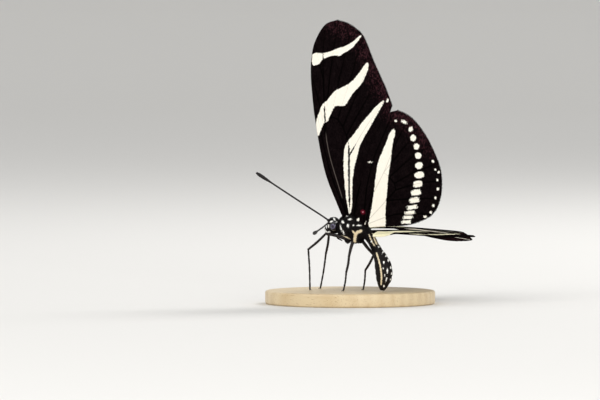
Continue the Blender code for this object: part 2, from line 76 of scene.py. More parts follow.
# Wings, laid out as in the solids
WING_SPAN = 46.3
LEFT_ROOT_Y = 0.95
LEFT_LEAN = 0.05
RIGHT_ROOT = Vector((3.0, 1.5, -0.6))
RIGHT_ROOT_T = 2.5
RIGHT_DROOP = radians(3.3)
RIGHT_PITCH = radians(-2.6)
TIP_DROOP = 1.7
FOREWING_LENGTH = 43.0
FOREWING_SWEEP = radians(2.5)
HINDWING_SWEEP = radians(-8.0)
LEFT_BOW = 0.5
RIGHT_BOW = 0.9
LEFT_CAMBER = 0.0045
RIGHT_CAMBER = 0.0007
CAMBER_START = 4.0
# The thin sheets lie closer together than the solids do, and their inner margin folds a little deeper
PAIR_GAP_ROOT = 0.45
PAIR_GAP = 0.7
INNER_MARGIN_CURL = 0.95
# The pair parts along this stretch outwards, and the fold runs over these outwards and rearwards
PAIR_PARTING = (1.5, 6.5)
CURL_OUTWARDS = (0.3, 2.9)
CURL_RISE = (3.2, 5.0)
CURL_FALL = (6.0, 10.5)
WING_THICK = 0.2
PLEAT_DEPTH = 0.1
PLEAT_WIDTH = 1.6
# Slow waves of the sheet: depth, turn per mm rearwards and outwards, and start
WAVE_DEPTH = 0.12
WAVE_REARWARDS = 0.55
WAVE_OUTWARDS = 0.31
WAVE_START = 1.3
# The spread wings are seen edge on, and the photograph shows them nearly flat
RIGHT_RELIEF = 0.4
# Cells of a sheet outwards and rearwards
FOREWING_GRID = (230, 100)
HINDWING_GRID = (130, 120)
# Veins taper from the wing's foot to its far edge
VEIN_FOOT = (0.5, 2.0)
VEIN_FOOT_RADIUS = 0.1625
VEIN_EDGE_RADIUS = 0.065
VEIN_POINTS = 60
# Edge scales: how far they stand out of each edge, their spacing, half width, root depth and lean
FRINGE_REACH = {"front": 0.1, "outer": 0.28, "inner": 0.24}
FRINGE_SPACING = 0.065
FRINGE_WIDTH = 0.05
FRINGE_SUNK = 0.12
FRINGE_LEAN = 0.35

# Each wing's edges in its own plane (rear, out): front edge, outer edge, inner edge, root
FOREWING_EDGES = {
    "front": [(-1.5, 1.0), (-2.9, 3.2), (-5.6, 9.6), (-7.1, 15.2), (-8.4, 23.2), (-9.1, 29.5), (-9.4, 36.0),
              (-8.4, 41.2), (-5.9, 45.2), (-3.0, 46.3)],
    "outer": [(-3.0, 46.3), (-0.1, 45.6), (2.2, 44.3), (4.0, 42.5), (6.4, 37.5), (9.6, 31.0), (11.1, 27.5)],
    "inner": [(1.6, 1.0), (2.1, 4.0), (3.3, 7.0), (5.4, 11.5), (8.0, 18.5), (10.2, 25.2), (11.1, 27.5)],
    "root": [(-1.5, 1.0), (1.6, 1.0)],
}
HINDWING_EDGES = {
    "front": [(1.3, 0.8), (1.5, 4.4), (2.5, 8.8), (4.1, 14.2), (6.2, 19.3), (8.4, 23.2), (10.6, 25.7),
              (12.9, 26.4)],
    "outer": [(12.9, 26.4), (15.8, 25.2), (18.1, 23.2), (20.4, 20.3), (22.1, 17.0), (23.4, 13.6),
              (23.7, 10.3), (23.3, 7.4), (22.1, 4.8), (20.2, 3.0)],
    "inner": [(4.4, 0.3), (8.0, 0.6), (13.0, 0.9), (17.0, 1.7), (20.2, 3.0)],
    "root": [(1.3, 0.8), (4.4, 0.3)],
}
FOREWING_VEINS = {
    "subcosta": [(-1.4, 3.0), (-4.3, 10.0), (-6.5, 18.0), (-8.1, 26.0)],
    "radius": [(-0.9, 2.0), (-3.4, 10.0), (-5.4, 17.5), (-6.1, 23.5), (-6.2, 33.0)],
    "radius_1": [(-5.6, 18.5), (-6.7, 24.0), (-7.6, 28.5), (-8.8, 33.0)],
    "radius_3": [(-6.2, 33.0), (-7.5, 38.0), (-8.2, 40.8)],
    "radius_4": [(-6.2, 33.0), (-6.2, 39.0), (-5.8, 44.8)],
    "radius_5": [(-6.1, 23.5), (-4.4, 35.0), (-2.5, 45.9)],
    "media_1": [(-4.7, 24.6), (-1.8, 35.0), (0.9, 44.7)],
    "media_2": [(-2.9, 24.2), (0.6, 33.5), (3.7, 42.4)],
    "media_3": [(-1.6, 22.6), (2.4, 30.5), (6.0, 37.8)],
    "cubitus": [(-0.6, 2.0), (-0.5, 11.0), (-0.3, 18.2), (-0.8, 20.6), (-1.6, 22.6)],
    "cell_end": [(-1.6, 22.6), (-2.9, 24.2), (-4.7, 24.6), (-6.1, 23.5)],
    "cubitus_1": [(-0.8, 20.6), (3.4, 27.0), (8.0, 33.7)],
    "cubitus_2": [(-0.4, 16.0), (4.6, 23.0), (10.1, 29.6)],
    "anal": [(0.3, 2.0), (1.9, 8.5), (5.8, 17.5), (9.8, 26.0)],
}
HINDWING_VEINS = {
    "subcosta": [(3.3, 2.0), (4.4, 9.0), (7.0, 16.5), (11.6, 25.2)],
    "radius": [(3.9, 2.0), (5.6, 7.0), (9.0, 12.6), (12.2, 18.8), (16.0, 24.7)],
    "media_1": [(9.0, 12.6), (14.0, 17.8), (19.0, 22.2)],
    "media_2": [(10.4, 11.6), (16.0, 15.8), (21.3, 18.8)],
    "media_3": [(11.6, 10.2), (17.2, 12.9), (23.0, 14.8)],
    "cell_end": [(9.0, 12.6), (10.4, 11.6), (11.6, 10.2), (12.0, 8.8)],
    "cubitus": [(4.4, 2.0), (9.4, 6.4), (12.0, 8.8)],
    "cubitus_1": [(12.0, 8.8), (17.8, 10.3), (23.6, 11.0)],
    "cubitus_2": [(9.4, 6.4), (16.6, 6.9), (23.1, 7.1)],
    "anal": [(4.6, 1.2), (12.0, 3.4), (20.8, 3.5)],
}

# Pale stripes, each an outline in the wing's plane, corner by corner
FOREWING_STRIPES = {
    "near_tip": [(3.2, 43.0), (0.5, 41.1), (-2.7, 40.0), (-5.9, 39.0), (-8.2, 39.0), (-9.0, 38.3),
                 (-9.0, 36.4), (-7.4, 36.5), (-6.0, 37.8), (-3.5, 38.5), (-2.3, 38.4), (-0.7, 39.2),
                 (1.2, 40.4), (3.2, 42.4)],
    "middle": [(4.8, 36.9), (5.2, 35.6), (3.6, 32.5), (1.1, 30.1), (-0.9, 27.4), (-3.4, 27.2), (-4.5, 25.6),
               (-5.5, 23.8), (-6.5, 23.2), (-8.0, 20.4), (-8.3, 23.5), (-7.5, 25.7), (-6.7, 27.4),
               (-5.5, 28.4), (-3.6, 30.5), (-1.6, 31.4), (1.2, 33.0)],
    "basal": [(9.2, 28.5), (7.9, 26.4), (6.2, 24.0), (4.1, 20.8), (2.6, 18.5), (1.7, 16.0), (0.8, 13.4),
              (0.3, 9.9), (0.0, 4.7), (-0.7, 3.2), (-1.1, 5.1), (-1.4, 6.8), (-1.7, 9.8), (-1.8, 13.4),
              (-1.7, 16.1), (-1.2, 18.4), (-0.2, 19.6), (1.7, 21.7), (3.8, 24.1), (7.1, 27.3)],
}
HINDWING_STRIPES = {
    "band": [(11.8, 22.3), (10.7, 21.0), (9.2, 18.0), (7.8, 15.2), (6.9, 11.8), (6.4, 9.1), (5.6, 5.5),
             (5.0, 3.3), (4.6, 0.2), (8.4, 0.2), (9.0, 4.0), (9.5, 7.4), (9.9, 10.5), (10.4, 13.2),
             (11.1, 16.4), (11.5, 19.0), (12.3, 21.6)],
}
# Spots: rear, out, half length, half height, tilt in degrees
FOREWING_SPOTS = [(10.1, 28.6, 0.25, 0.5, -20)]
HINDWING_SPOTS = [
    (12.6, 24.1, 0.3, 0.25, 0), (14.7, 23.9, 0.75, 0.33, -25), (16.3, 22.3, 0.5, 0.6, -30),
    (16.9, 20.4, 0.72, 0.72, 0), (17.7, 18.5, 0.75, 0.66, 0), (18.1, 16.5, 0.78, 0.72, 0),
    (18.2, 14.3, 0.98, 0.76, 8), (18.2, 12.2, 1.15, 0.68, 8), (17.7, 10.2, 1.22, 0.72, 10),
    (17.1, 8.3, 1.28, 0.62, 10), (16.6, 6.6, 1.28, 0.6, 10), (15.9, 5.0, 1.28, 0.42, 8),
    (15.4, 3.8, 1.25, 0.38, 6), (14.8, 2.75, 1.15, 0.34, 4), (14.2, 1.7, 1.2, 0.36, 2),
]
# Dots along the hindwing's margin, on its underside alone
MARGIN_DOTS = [
    (21.8, 15.3, 0.3, 0.3, 0), (22.3, 13.5, 0.26, 0.26, 0), (23.1, 12.9, 0.3, 0.3, 0),
    (22.8, 11.2, 0.3, 0.3, 0), (22.8, 9.2, 0.34, 0.34, 0), (22.2, 7.2, 0.32, 0.32, 0),
    (21.5, 5.5, 0.34, 0.3, 0), (20.7, 4.0, 0.34, 0.3, 0), (19.1, 2.95, 0.45, 0.26, 0),
]
# Pale spots of the hindwing's underside at its front edge and root
BASE_DOTS = [
    (5.6, 14.9, 0.5, 0.16, 0), (1.75, 1.95, 0.36, 0.38, 0), (3.6, 1.3, 0.1, 0.28, -20),
]
# Red spot at the root, on the underside alone
RED_SPOTS = [(3.1, 3.7, 0.5, 0.45, 0)]
# Veins that stay dark where they cross a stripe: first and last reach out, half width
DARK_VEINS = {"cubitus": (4.5, 19.0, 0.24), "radius": (22.0, 28.0, 0.16), "radius_4": (36.0, 40.0, 0.16),
              "radius_5": (28.0, 34.0, 0.07), "media_1": (30.0, 36.0, 0.05), "cubitus_2": (14.5, 19.0, 0.13)}
# The stretch of the radius that carries a painted highlight, a faint pale line
VEIN_HIGHLIGHT = ("radius", 5.0, 23.0)
# A dark vein, or the radius's painted highlight, fades in and out over these lengths
DARK_VEIN_FADE = 1.5
VEIN_HIGHLIGHT_FADE = 3.0

# Body, laid out as in the solids
HEAD_CENTRE = Vector((-5.5, 0.0, 0.5))
HEAD_SIZE = Vector((3.1, 2.9, 3.7))
EYE_SIZE = Vector((1.75, 1.35, 2.1))
# The photograph shows the eye 0.2 mm behind its solid
EYE_CENTRE = Vector((-4.85, 1.2, 0.35))
# The photograph shows a ring of violet gleam on the eye
# The gleam is a painted highlight: a violet ring put into the eye's colour
EYE_HIGHLIGHT_RADIUS = 0.42
EYE_HIGHLIGHT_OFFSET = (0.12, -0.05)
THORAX_LENGTH = 8.1
THORAX_WIDTH = 4.5
THORAX_HEIGHT = 5.9
NECK_OVERLAP = 0.2
# The thorax is part of a rounded barrel: its rings run from and to these shares of a half turn
THORAX_START = 0.16
THORAX_END = 0.96
THORAX_FULLNESS = 0.62
THORAX_TAPER = 0.10
THORAX_SAG = 0.35
THORAX_SAG_START = 0.55
THORAX_RINGS = 16
# Swellings of the body skin: centre and size
NECK_SWELLING = ((-4.1, 0, 0.2), (2.0, 2.3, 2.6))
FACE_SWELLING = ((-6.55, 0, -0.1), (1.3, 1.7, 2.2))
WING_ROOT_SWELLING = ((-0.6, 1.35, 2.1), (2.8, 1.3, 1.5))
LEG_ROOT_SIZE = (1.5, 1.2, 2.0)
SKIN_VOXEL = 0.13
SKIN_SOFTENING = 10
# Abdomen: x, z, width and height at stations down its curled length
ABDOMEN_STATIONS = [
    (2.2, -0.6, 2.2, 2.4), (4.0, -2.1, 1.95, 2.1), (5.3, -4.1, 1.85, 1.95), (6.4, -6.0, 2.6, 2.9),
    (7.3, -8.2, 3.45, 3.9), (7.6, -10.2, 3.45, 3.9), (7.4, -11.9, 2.85, 3.15), (7.1, -13.85, 0.9, 1.0),
]
ABDOMEN_RINGS = 8
ABDOMEN_GROOVE = 0.13
# The abdomen's grooves and coat begin over these shares of its length
ABDOMEN_JOIN = (0.3, 0.38)
# How deep a body spot reaches into the picture, in mm
SPOT_DEPTH = 1.2
# Hairs per square mm, and their length and half width in mm
FUR_DENSITY = {"chest": 125.0, "head": 115.0, "abdomen": 85.0}
FUR_LENGTH = {"chest": 0.42, "back": 0.62, "head": 0.34, "abdomen": 0.17}
FUR_WIDTH = {"chest": 0.034, "abdomen": 0.055}
# Where the head's coat gives way to the chest's, and the bare oval round each eye against its half size
HEAD_COAT_END = (-4.6, -3.8)
BARE_ROUND_EYE = (1.05, 1.0, 1.2)
# A hair is rooted below the skin and bends at this share of its length
HAIR_SUNK = 0.05
HAIR_BEND = 0.55
# Two rings of three points and the tip
HAIR_POINTS = 7
# Half size of each hair's place in the bake map
BAKE_PATCH = 0.0015
# Legs: joints from the chest to the foot, mirrored for the left side. Each foot stands on the base
LEGS = {
    "leg_mid_left": [(-1.2, 1.2, -2.4), (-6.2, 2.3, -1.3), (-10.4, 3.0, -4.9), (-9.6, 3.6)],
    "leg_mid_right": [(-1.2, 1.2, -2.4), (-8.2, 2.2, -1.7), (-9.3, 2.7, -6.0), (-11.2, 3.4)],
    "leg_hind_left": [(0.3, 1.0, -2.4), (-0.2, 2.2, -6.2), (-0.5, 2.9, -9.8), (-1.0, 3.3)],
    "leg_hind_right": [(0.9, 1.0, -2.4), (3.5, 2.3, -6.0), (1.0, 2.8, -9.5), (0.2, 3.2)],
}
FORELEG = [(-2.6, 0.75, -1.7), (-4.1, 0.85, -2.15), (-2.9, 0.8, -2.85)]
FORELEG_RADII = (0.24, 0.22, 0.16, 0.1)
# Femur, tibia and tarsus: radius at the root, narrowing to the end, swelling, and sag of the middle
LEG_SEGMENTS = ((0.35, 0.08, 0.06, -0.1), (0.25, 0.02, 0.03, 0.12), (0.17, 0.03, 0.05, 0.12))
LEG_RINGS = 60
TARSUS_JOINTS = 5
FOOT_ABOVE_BASE = 0.16
# The femur's root turns into the chest, at these shares of its place
FEMUR_ROOT = (0.8, 0.4, 0.68)
# Femur, tibia and tarsus, then foreleg: hairs per square mm, their length and their lift
LEG_HAIRS = ((16, 0.3, 0.35), (22, 0.3, 0.55), (30, 0.22, 0.6))
FORELEG_HAIRS = (45, 0.3, 0.4)
LEG_HAIR_WIDTH = 0.022
KNEE_SIZE = 0.56
ANKLE_SIZE = 0.84 * KNEE_SIZE
# Claws in pairs: reach and height from the foot, radii, and half the angle between the two
CLAW = ((0.0, 0.0), (0.3, 0.06), (0.52, -0.12))
CLAW_RADII = (0.09, 0.07, 0.02)
CLAW_SPREAD = 0.5
PALP = [(-5.9, 0.55, -0.9), (-6.8, 0.58, -1.05), (-7.25, 0.6, -0.5), (-7.45, 0.6, 0.1)]
PALP_RADII = (0.3, 0.33, 0.27, 0.1)
PALP_STRIPE = (-0.12, 0.3, 0.0)
PALP_STRIPE_HALF_WIDTH = 0.17
PALP_HAIRS = (110, 0.26, 0.5)
PALP_HAIR_WIDTH = 0.03
TONGUE_ROOT = (-6.0, 0, -0.6)
TONGUE_COIL = (-6.95, -1.3)
TONGUE_COIL_RADIUS = 0.66
TONGUE_COIL_START = radians(75)
TONGUE_COIL_TURN = radians(648)
TONGUE_NARROWING = 0.72
TONGUE_RADII = (0.13, 0.11, 0.07)
# Feelers thicken into a club and round off at the tip, over these shares of their length
ANTENNA_RADIUS = 0.2
ANTENNA_CLUB = 0.22
ANTENNA_CLUB_RISE = (0.78, 0.92)
ANTENNA_TIP = (0.955, 1.0)
ANTENNA_TIP_NARROWING = 0.75
ANTENNA_JOINTS = 46
ANTENNA_WAIST = 0.10
ANTENNA_SOCKET = 0.72
ANTENNA_SOCKET_PLACE = 0.035
ANTENNAE = {
    "antenna_left": [(-6.0, -0.45, 1.2), (-8.2, -1.3, 2.8), (-13.0, -3.6, 6.2), (-21.0, -8.0, 12.2)],
    "antenna_right": [(-6.0, 0.5, 1.1), (-8.0, 1.9, 1.0), (-12.4, 6.4, -0.3), (-18.7, 12.6, -2.1)],
}

# The seam of every tube lies square to this direction, which no limb or vein follows
TUBE_SEAM = (0.12, 0.95, 0.28)
# Tubes take their direction from points this share of their length before and behind
TUBE_LOOK = 0.002

# White body spots where the photograph shows them: pixel across, pixel down, half sizes in mm, tilt
BODY_SPOTS = [
    (329.2, 218.6, 0.24, 0.21, 0), (331.0, 221.8, 0.33, 0.15, 8), (334.3, 219.2, 0.17, 0.38, 35),
    (336.8, 221.8, 0.10, 0.16, 0), (328.6, 226.0, 0.15, 0.34, 0), (340.9, 228.2, 0.16, 0.75, 14),
    (342.7, 222.0, 0.27, 0.40, 28), (343.5, 232.6, 0.15, 0.55, 18), (347.8, 225.8, 0.27, 0.38, 0),
    (349.8, 219.3, 0.46, 0.22, 15), (353.2, 225.2, 0.20, 0.22, 0), (358.2, 219.5, 0.40, 0.42, 0),
    (359.0, 225.3, 0.50, 0.18, 0), (346.4, 216.2, 0.24, 0.14, 0), (352.0, 214.6, 0.22, 0.20, 0),
    (366.1, 222.4, 0.20, 0.30, 0), (371.2, 241.2, 0.14, 0.20, 0), (378.4, 246.6, 0.18, 0.24, 0),
    (382.7, 252.0, 0.13, 0.40, -35), (383.5, 262.0, 0.16, 0.34, 0), (388.0, 260.0, 0.15, 0.36, 0),
    (387.0, 270.4, 0.16, 0.52, 0), (390.7, 267.5, 0.13, 0.24, 0), (391.2, 273.5, 0.13, 0.24, 0),
    (386.2, 279.0, 0.14, 0.52, -15), (390.3, 279.2, 0.13, 0.2, 0), (383.6, 285.8, 0.17, 0.22, 0),
    (386.2, 255.6, 0.12, 0.26, -20), (384.4, 274.8, 0.10, 0.22, 0), (383.0, 268.0, 0.10, 0.2, 0),
]
# Cream streaks along the body: pixels along each line and the half width in mm
BODY_STREAKS = [
    ([(360.4, 231.0), (356.8, 232.6), (354.8, 236.4), (354.6, 241.4)], 0.34),
    ([(352.8, 231.4), (354.8, 233.4)], 0.22),
    ([(341.0, 235.4), (345.5, 236.8), (350.0, 239.0)], 0.10),
    ([(376.4, 253.0), (379.0, 262.0), (380.8, 271.0), (381.2, 279.0), (380.8, 284.0)], 0.18),
    ([(369.0, 234.4), (371.0, 240.0), (374.4, 245.8)], 0.11),
    ([(372.4, 233.6), (373.8, 238.0), (376.4, 243.8)], 0.17),
]

# Base plate's softened edge
BASE_EDGE = 0.55

# Studio: the paper bowl's profile and the lamps, in metres
PAPER_BOWL = [(0.0, 0.0), (1.2, 0.0), (2.0, 0.0), (2.5, 0.05), (2.82, 0.25), (2.96, 0.55), (3.0, 0.9)]
# Each lamp's place across, up and towards the camera, its size and its watts
LAMPS = {
    "key": (-0.45, 0.5, 0.6, 0.4, 2.1),
    "fill": (0.6, 0.25, 0.6, 0.5, 0.6),
    "rim": (0.4, 0.55, -0.4, 0.35, 2.6),
    "low": (0.22, 0.12, 0.8, 0.24, 1.4),
}
SKY_STRENGTH = 0.78


def mix(a, b, x):
    """a at x = 0, b at x = 1."""
    return a + (b - a) * x


def smooth(x):
    """0 to 1 with flat ends, for a number or an array."""
    x = np.clip(x, 0.0, 1.0)
    return x * x * (3 - 2 * x)


def rise(x, start, end):
    """0 to 1 with flat ends while x runs from start to end."""
    return smooth((x - start) / (end - start))


def stretch(x, start, end, fade):
    """1 between start and end, fading to 0 at both."""
    return rise(x, start, start + fade) * rise(end - x, 0.0, fade)


def unit(vectors):
    """A vector, or rows of them, at a length of 1."""
    return vectors / (np.linalg.norm(vectors, axis=-1, keepdims=True) + 1e-9)


def spline(points, steps=10, closed=False):
    """Catmull-Rom curve through the points, as an array."""
    pts = np.array([tuple(p) for p in points], dtype=float)
    count = len(pts)
    out = []
    for i in range(count if closed else count - 1):
        if closed:
            p0, p1, p2, p3 = (pts[(i + k) % count] for k in (-1, 0, 1, 2))
        else:
            p0, p1, p2, p3 = (pts[min(max(i + k, 0), count - 1)] for k in (-1, 0, 1, 2))
        u = (np.arange(steps) / steps)[:, None]
        out.append(0.5 * (2 * p1 + (p2 - p0) * u + (2 * p0 - 5 * p1 + 4 * p2 - p3) * u ** 2
                          + (3 * p1 - p0 - 3 * p2 + p3) * u ** 3))
    if not closed:
        out.append(pts[-1:])
    return np.concatenate(out)


def along(line, fractions):
    """Points of a dense line at the given fractions of its length."""
    steps = np.linalg.norm(np.diff(line, axis=0), axis=1)
    lengths = np.concatenate([[0], np.cumsum(steps)])
    target = np.asarray(fractions) * lengths[-1]
    return np.stack([np.interp(target, lengths, line[:, k]) for k in range(line.shape[1])], axis=1)


def distance_to_line(points, line):
    """Distance from each point to a line of straight runs."""
    best = np.full(len(points), 1e9)
    for a, b in zip(line, line[1:]):
        run = b - a
        u = np.clip(((points - a) @ run) / max(run @ run, 1e-12), 0, 1)
        best = np.minimum(best, np.linalg.norm(points - a - u[:, None] * run, axis=1))
    return best


def outline_distance(points, loop):
    """Signed distance to a closed outline, negative inside it."""
    closed = np.vstack([loop, loop[:1]])
    inside = np.zeros(len(points), dtype=bool)
    for a, b in zip(closed, closed[1:]):
        rises = (a[1] > points[:, 1]) != (b[1] > points[:, 1])
        height = b[1] - a[1] if b[1] != a[1] else 1e-12
        inside ^= rises & (points[:, 0] < a[0] + (b[0] - a[0]) * (points[:, 1] - a[1]) / height)
    away = distance_to_line(points, closed)
    return np.where(inside, -away, away)


def spot_distance(points, spots):
    """Signed distance to the nearest of a set of tilted oval spots."""
    best = np.full(len(points), FAR)
    for x, y, half_x, half_y, tilt in spots:
        c, s = cos(radians(tilt)), sin(radians(tilt))
        d = points - np.array((x, y))
        a = np.abs(d[:, 0] * c + d[:, 1] * s) / half_x
        b = np.abs(d[:, 1] * c - d[:, 0] * s) / half_y
        # Long spots are squarer than an oval
        square = 2 + 1.6 * max(0.0, half_x / half_y - 1.2)
        best = np.minimum(best, ((a ** square + b ** square) ** (1 / square) - 1) * min(half_x, half_y))
    return best


def to_frame(points):
    """Millimetres around the thorax centre to metres in the frame."""
    return (points + np.array(CENTRE)) * METRE


def finish(name, mesh, material, replaces=()):
    """Make an object of a mesh that is laid out in millimetres, and let it ride on the body."""
    mesh.vertices.foreach_set("co", to_frame(places(mesh)).ravel())
    mesh.update()
    mesh.shade_smooth()
    mesh.materials.append(material)
    piece = bpy.data.objects.new(name, mesh)
    bpy.context.scene.collection.objects.link(piece)
    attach(piece, "root")
    if replaces:
        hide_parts(*replaces)
    return piece


def add_attribute(mesh, name, values):
    """Store one number, or one vector, for each vertex."""
    kind = "FLOAT" if values.ndim == 1 else "FLOAT_VECTOR"
    layer = mesh.attributes.new(name, kind, "POINT")
    layer.data.foreach_set("value" if values.ndim == 1 else "vector", values.astype(np.float32).ravel())


def mesh_of(name, bm):
    """Turn a finished bmesh into a mesh."""
    mesh = bpy.data.meshes.new(name)
    bm.to_mesh(mesh)
    bm.free()
    return mesh


def places(mesh):
    """The mesh's vertices as rows of an array."""
    co = np.empty(len(mesh.vertices) * 3)
    mesh.vertices.foreach_get("co", co)
    return co.reshape(-1, 3)


# Materials


def linear(hex_colour):
    """Turn a #rrggbb colour into linear RGBA."""
    channels = [int(hex_colour[i:i + 2], 16) / 255 for i in (1, 3, 5)]
    return (*[c / 12.92 if c <= 0.04045 else ((c + 0.055) / 1.055) ** 2.4 for c in channels], 1.0)


def add(tree, kind, inputs=None, **settings):
    """Add a node with its settings, and fill or link its inputs."""
    made = tree.nodes.new(kind)
    for key, value in settings.items():
        setattr(made, key, value)
    for key, value in (inputs or {}).items():
        if isinstance(value, bpy.types.NodeSocket):
            tree.links.new(value, made.inputs[key])
        else:
            made.inputs[key].default_value = value
    return made


def new_material(name, **sockets):
    """A material whose surface has the given values, with the spaces of their names as underscores."""
    made = bpy.data.materials.new(name)
    made.use_nodes = True
    shader = made.node_tree.nodes["Principled BSDF"]
    for key, value in sockets.items():
        shader.inputs[key.replace("_", " ")].default_value = value
    return made, made.node_tree, shader


def wing_scale_material():
    """Chitin wing scales: rows of tiny flat scales, velvety black with crisp cream stripes."""
    # The rows of scales scatter light, so that not even a grazing look finds a shine
    made, tree, shader = new_material("chitin_wing_scales", Roughness=0.85, Specular_IOR_Level=0.0)
    plan = add(tree, "ShaderNodeAttribute", attribute_name="plan").outputs["Vector"]
    stripe, red, dust, vein, vein_highlight, under = (
        add(tree, "ShaderNodeAttribute", attribute_name=name).outputs["Fac"]
        for name in ("stripe", "red", "dust", "vein", "vein_highlight", "underside"))
    # A real scale is about 0.1 mm wide and 0.2 mm long. It is drawn 0.18 by 0.29 mm, so that it shows
    lie = add(tree, "ShaderNodeMapping", {"Vector": plan, "Scale": (5.5, 3.4, 1.0)}).outputs["Vector"]
    scales = add(tree, "ShaderNodeTexVoronoi", {"Vector": lie, "Scale": 1.0, "Randomness": 0.8}).outputs
    shade = add(tree, "ShaderNodeSeparateColor", {"Color": scales["Color"]}).outputs["Red"]
    # Whole scales are pale or black, so the markings' edges are ragged by 0.1 mm
    ragged = add(tree, "ShaderNodeMath", {0: shade, 1: 0.2, 2: -0.1}, operation="MULTIPLY_ADD").outputs[0]
    edge = add(tree, "ShaderNodeMath", {0: stripe, 1: ragged}, operation="ADD").outputs[0]
    pale = add(tree, "ShaderNodeMapRange", {"Value": edge, "From Min": 0.03, "From Max": -0.03}).outputs[0]
    # Patches of about 2 mm, and single scales within them, are blacker or browner
    patches = add(tree, "ShaderNodeTexNoise", {"Vector": plan, "Scale": 0.5, "Detail": 4.0}).outputs["Fac"]
    mottle = add(tree, "ShaderNodeMath", {0: patches, 1: shade}, operation="MULTIPLY").outputs[0]
    # Veins are blacker, but for the radius, which carries a painted highlight: a faint pale line
    on_vein = add(tree, "ShaderNodeMapRange", {"Value": vein, "From Min": 0.22, "From Max": 0.08}).outputs[0]
    on_vein_highlight = add(tree, "ShaderNodeMapRange", {"Value": vein_highlight, "From Min": 0.16, "From Max": 0.06,
                                                "To Max": 0.4}).outputs[0]
    # Brown dusting of the outer half, scale by scale
    cloud = add(tree, "ShaderNodeMapRange", {"Value": patches, "From Min": 0.35, "From Max": 0.65,
                                             "To Min": 0.75}).outputs[0]
    fleck = add(tree, "ShaderNodeMath", {0: shade, 1: cloud}, operation="MULTIPLY").outputs[0]
    speckle = add(tree, "ShaderNodeMath", {0: fleck, 1: dust}, operation="MULTIPLY").outputs[0]
    brown = add(tree, "ShaderNodeMapRange", {"Value": speckle, "From Min": 0.4, "From Max": 1.0,
                                             "To Max": 0.5}).outputs[0]
    ground = linear("#080506")
    # The pale #7d726c layer is the painted highlight along the radius
    layers = ((mottle, "#1d1516"), (on_vein, "#040303"), (on_vein_highlight, "#7d726c"), (brown, "#5c343c"))
    for share, colour in layers:
        ground = add(tree, "ShaderNodeMix", {"Factor": share, "A": ground, "B": linear(colour)},
                     data_type="RGBA").outputs["Result"]
    # The stripes are yellower above than on the underside, and darker where a vein crosses
    cream = add(tree, "ShaderNodeMix", {"Factor": under, "A": linear("#f9f4d4"), "B": linear("#fbf7ea")},
                data_type="RGBA").outputs["Result"]
    warm = add(tree, "ShaderNodeMix", {"Factor": under, "A": linear("#f1e6b8"), "B": linear("#f8eddc")},
               data_type="RGBA").outputs["Result"]
    tint = add(tree, "ShaderNodeMix", {"Factor": mottle, "A": cream, "B": warm},
               data_type="RGBA").outputs["Result"]
    crossing = add(tree, "ShaderNodeMapRange", {"Value": vein, "From Min": 0.1, "From Max": 0.04,
                                                "To Max": 0.28}).outputs[0]
    crossed = add(tree, "ShaderNodeMix", {"Factor": crossing, "A": tint, "B": linear("#6d5a4c")},
                  data_type="RGBA").outputs["Result"]
    coat = add(tree, "ShaderNodeMix", {"Factor": pale, "A": ground, "B": crossed},
               data_type="RGBA").outputs["Result"]
    # The red spot is crimson with a rosy heart
    blush = add(tree, "ShaderNodeMath", {0: red, 1: ragged}, operation="ADD").outputs[0]
    halo = add(tree, "ShaderNodeMapRange", {"Value": blush, "From Min": 0.2, "From Max": -0.14}).outputs[0]
    heart = add(tree, "ShaderNodeMapRange", {"Value": blush, "From Min": -0.26, "From Max": -0.4}).outputs[0]
    for share, colour in ((halo, "#5a1020"), (heart, "#d98d98")):
        coat = add(tree, "ShaderNodeMix", {"Factor": share, "A": coat, "B": linear(colour)},
                   data_type="RGBA").outputs["Result"]
    tree.links.new(coat, shader.inputs["Base Color"])
    bump = add(tree, "ShaderNodeBump", {"Height": scales["Distance"], "Strength": 0.4, "Distance": 0.00006})
    tree.links.new(bump.outputs["Normal"], shader.inputs["Normal"])
    return made


def body_scale_material():
    """Body cuticle under close black scales and hairs, with white scale spots and cream streaks."""
    made, tree, shader = new_material("chitin_body_scales", Roughness=0.62, Specular_IOR_Level=0.16)
    place = add(tree, "ShaderNodeTexCoord").outputs["Object"]
    # Six scales to the mm, coarser than real ones so that they show
    scales = add(tree, "ShaderNodeTexVoronoi", {"Vector": place, "Scale": 6 / METRE}).outputs
    shade = add(tree, "ShaderNodeSeparateColor", {"Color": scales["Color"]}).outputs["Red"]
    ragged = add(tree, "ShaderNodeMath", {0: shade, 1: 0.14, 2: -0.07}, operation="MULTIPLY_ADD").outputs[0]
    coat = add(tree, "ShaderNodeMix", {"Factor": shade, "A": linear("#080607"), "B": linear("#1a1414")},
               data_type="RGBA").outputs["Result"]
    # White spots lie over the cream streaks, each with its edge softened by this many mm
    for marking, soft, colour in (("streak", 0.06, "#edddba"), ("spot", 0.04, "#fbfaf4")):
        reach = add(tree, "ShaderNodeAttribute", attribute_name=marking).outputs["Fac"]
        edge = add(tree, "ShaderNodeMath", {0: reach, 1: ragged}, operation="ADD").outputs[0]
        share = add(tree, "ShaderNodeMapRange", {"Value": edge, "From Min": soft,
                                                 "From Max": -soft}).outputs[0]
        coat = add(tree, "ShaderNodeMix", {"Factor": share, "A": coat, "B": linear(colour)},
                   data_type="RGBA").outputs["Result"]
    tree.links.new(coat, shader.inputs["Base Color"])
    bump = add(tree, "ShaderNodeBump", {"Height": scales["Distance"], "Strength": 0.35, "Distance": 0.00004})
    tree.links.new(bump.outputs["Normal"], shader.inputs["Normal"])
    return made


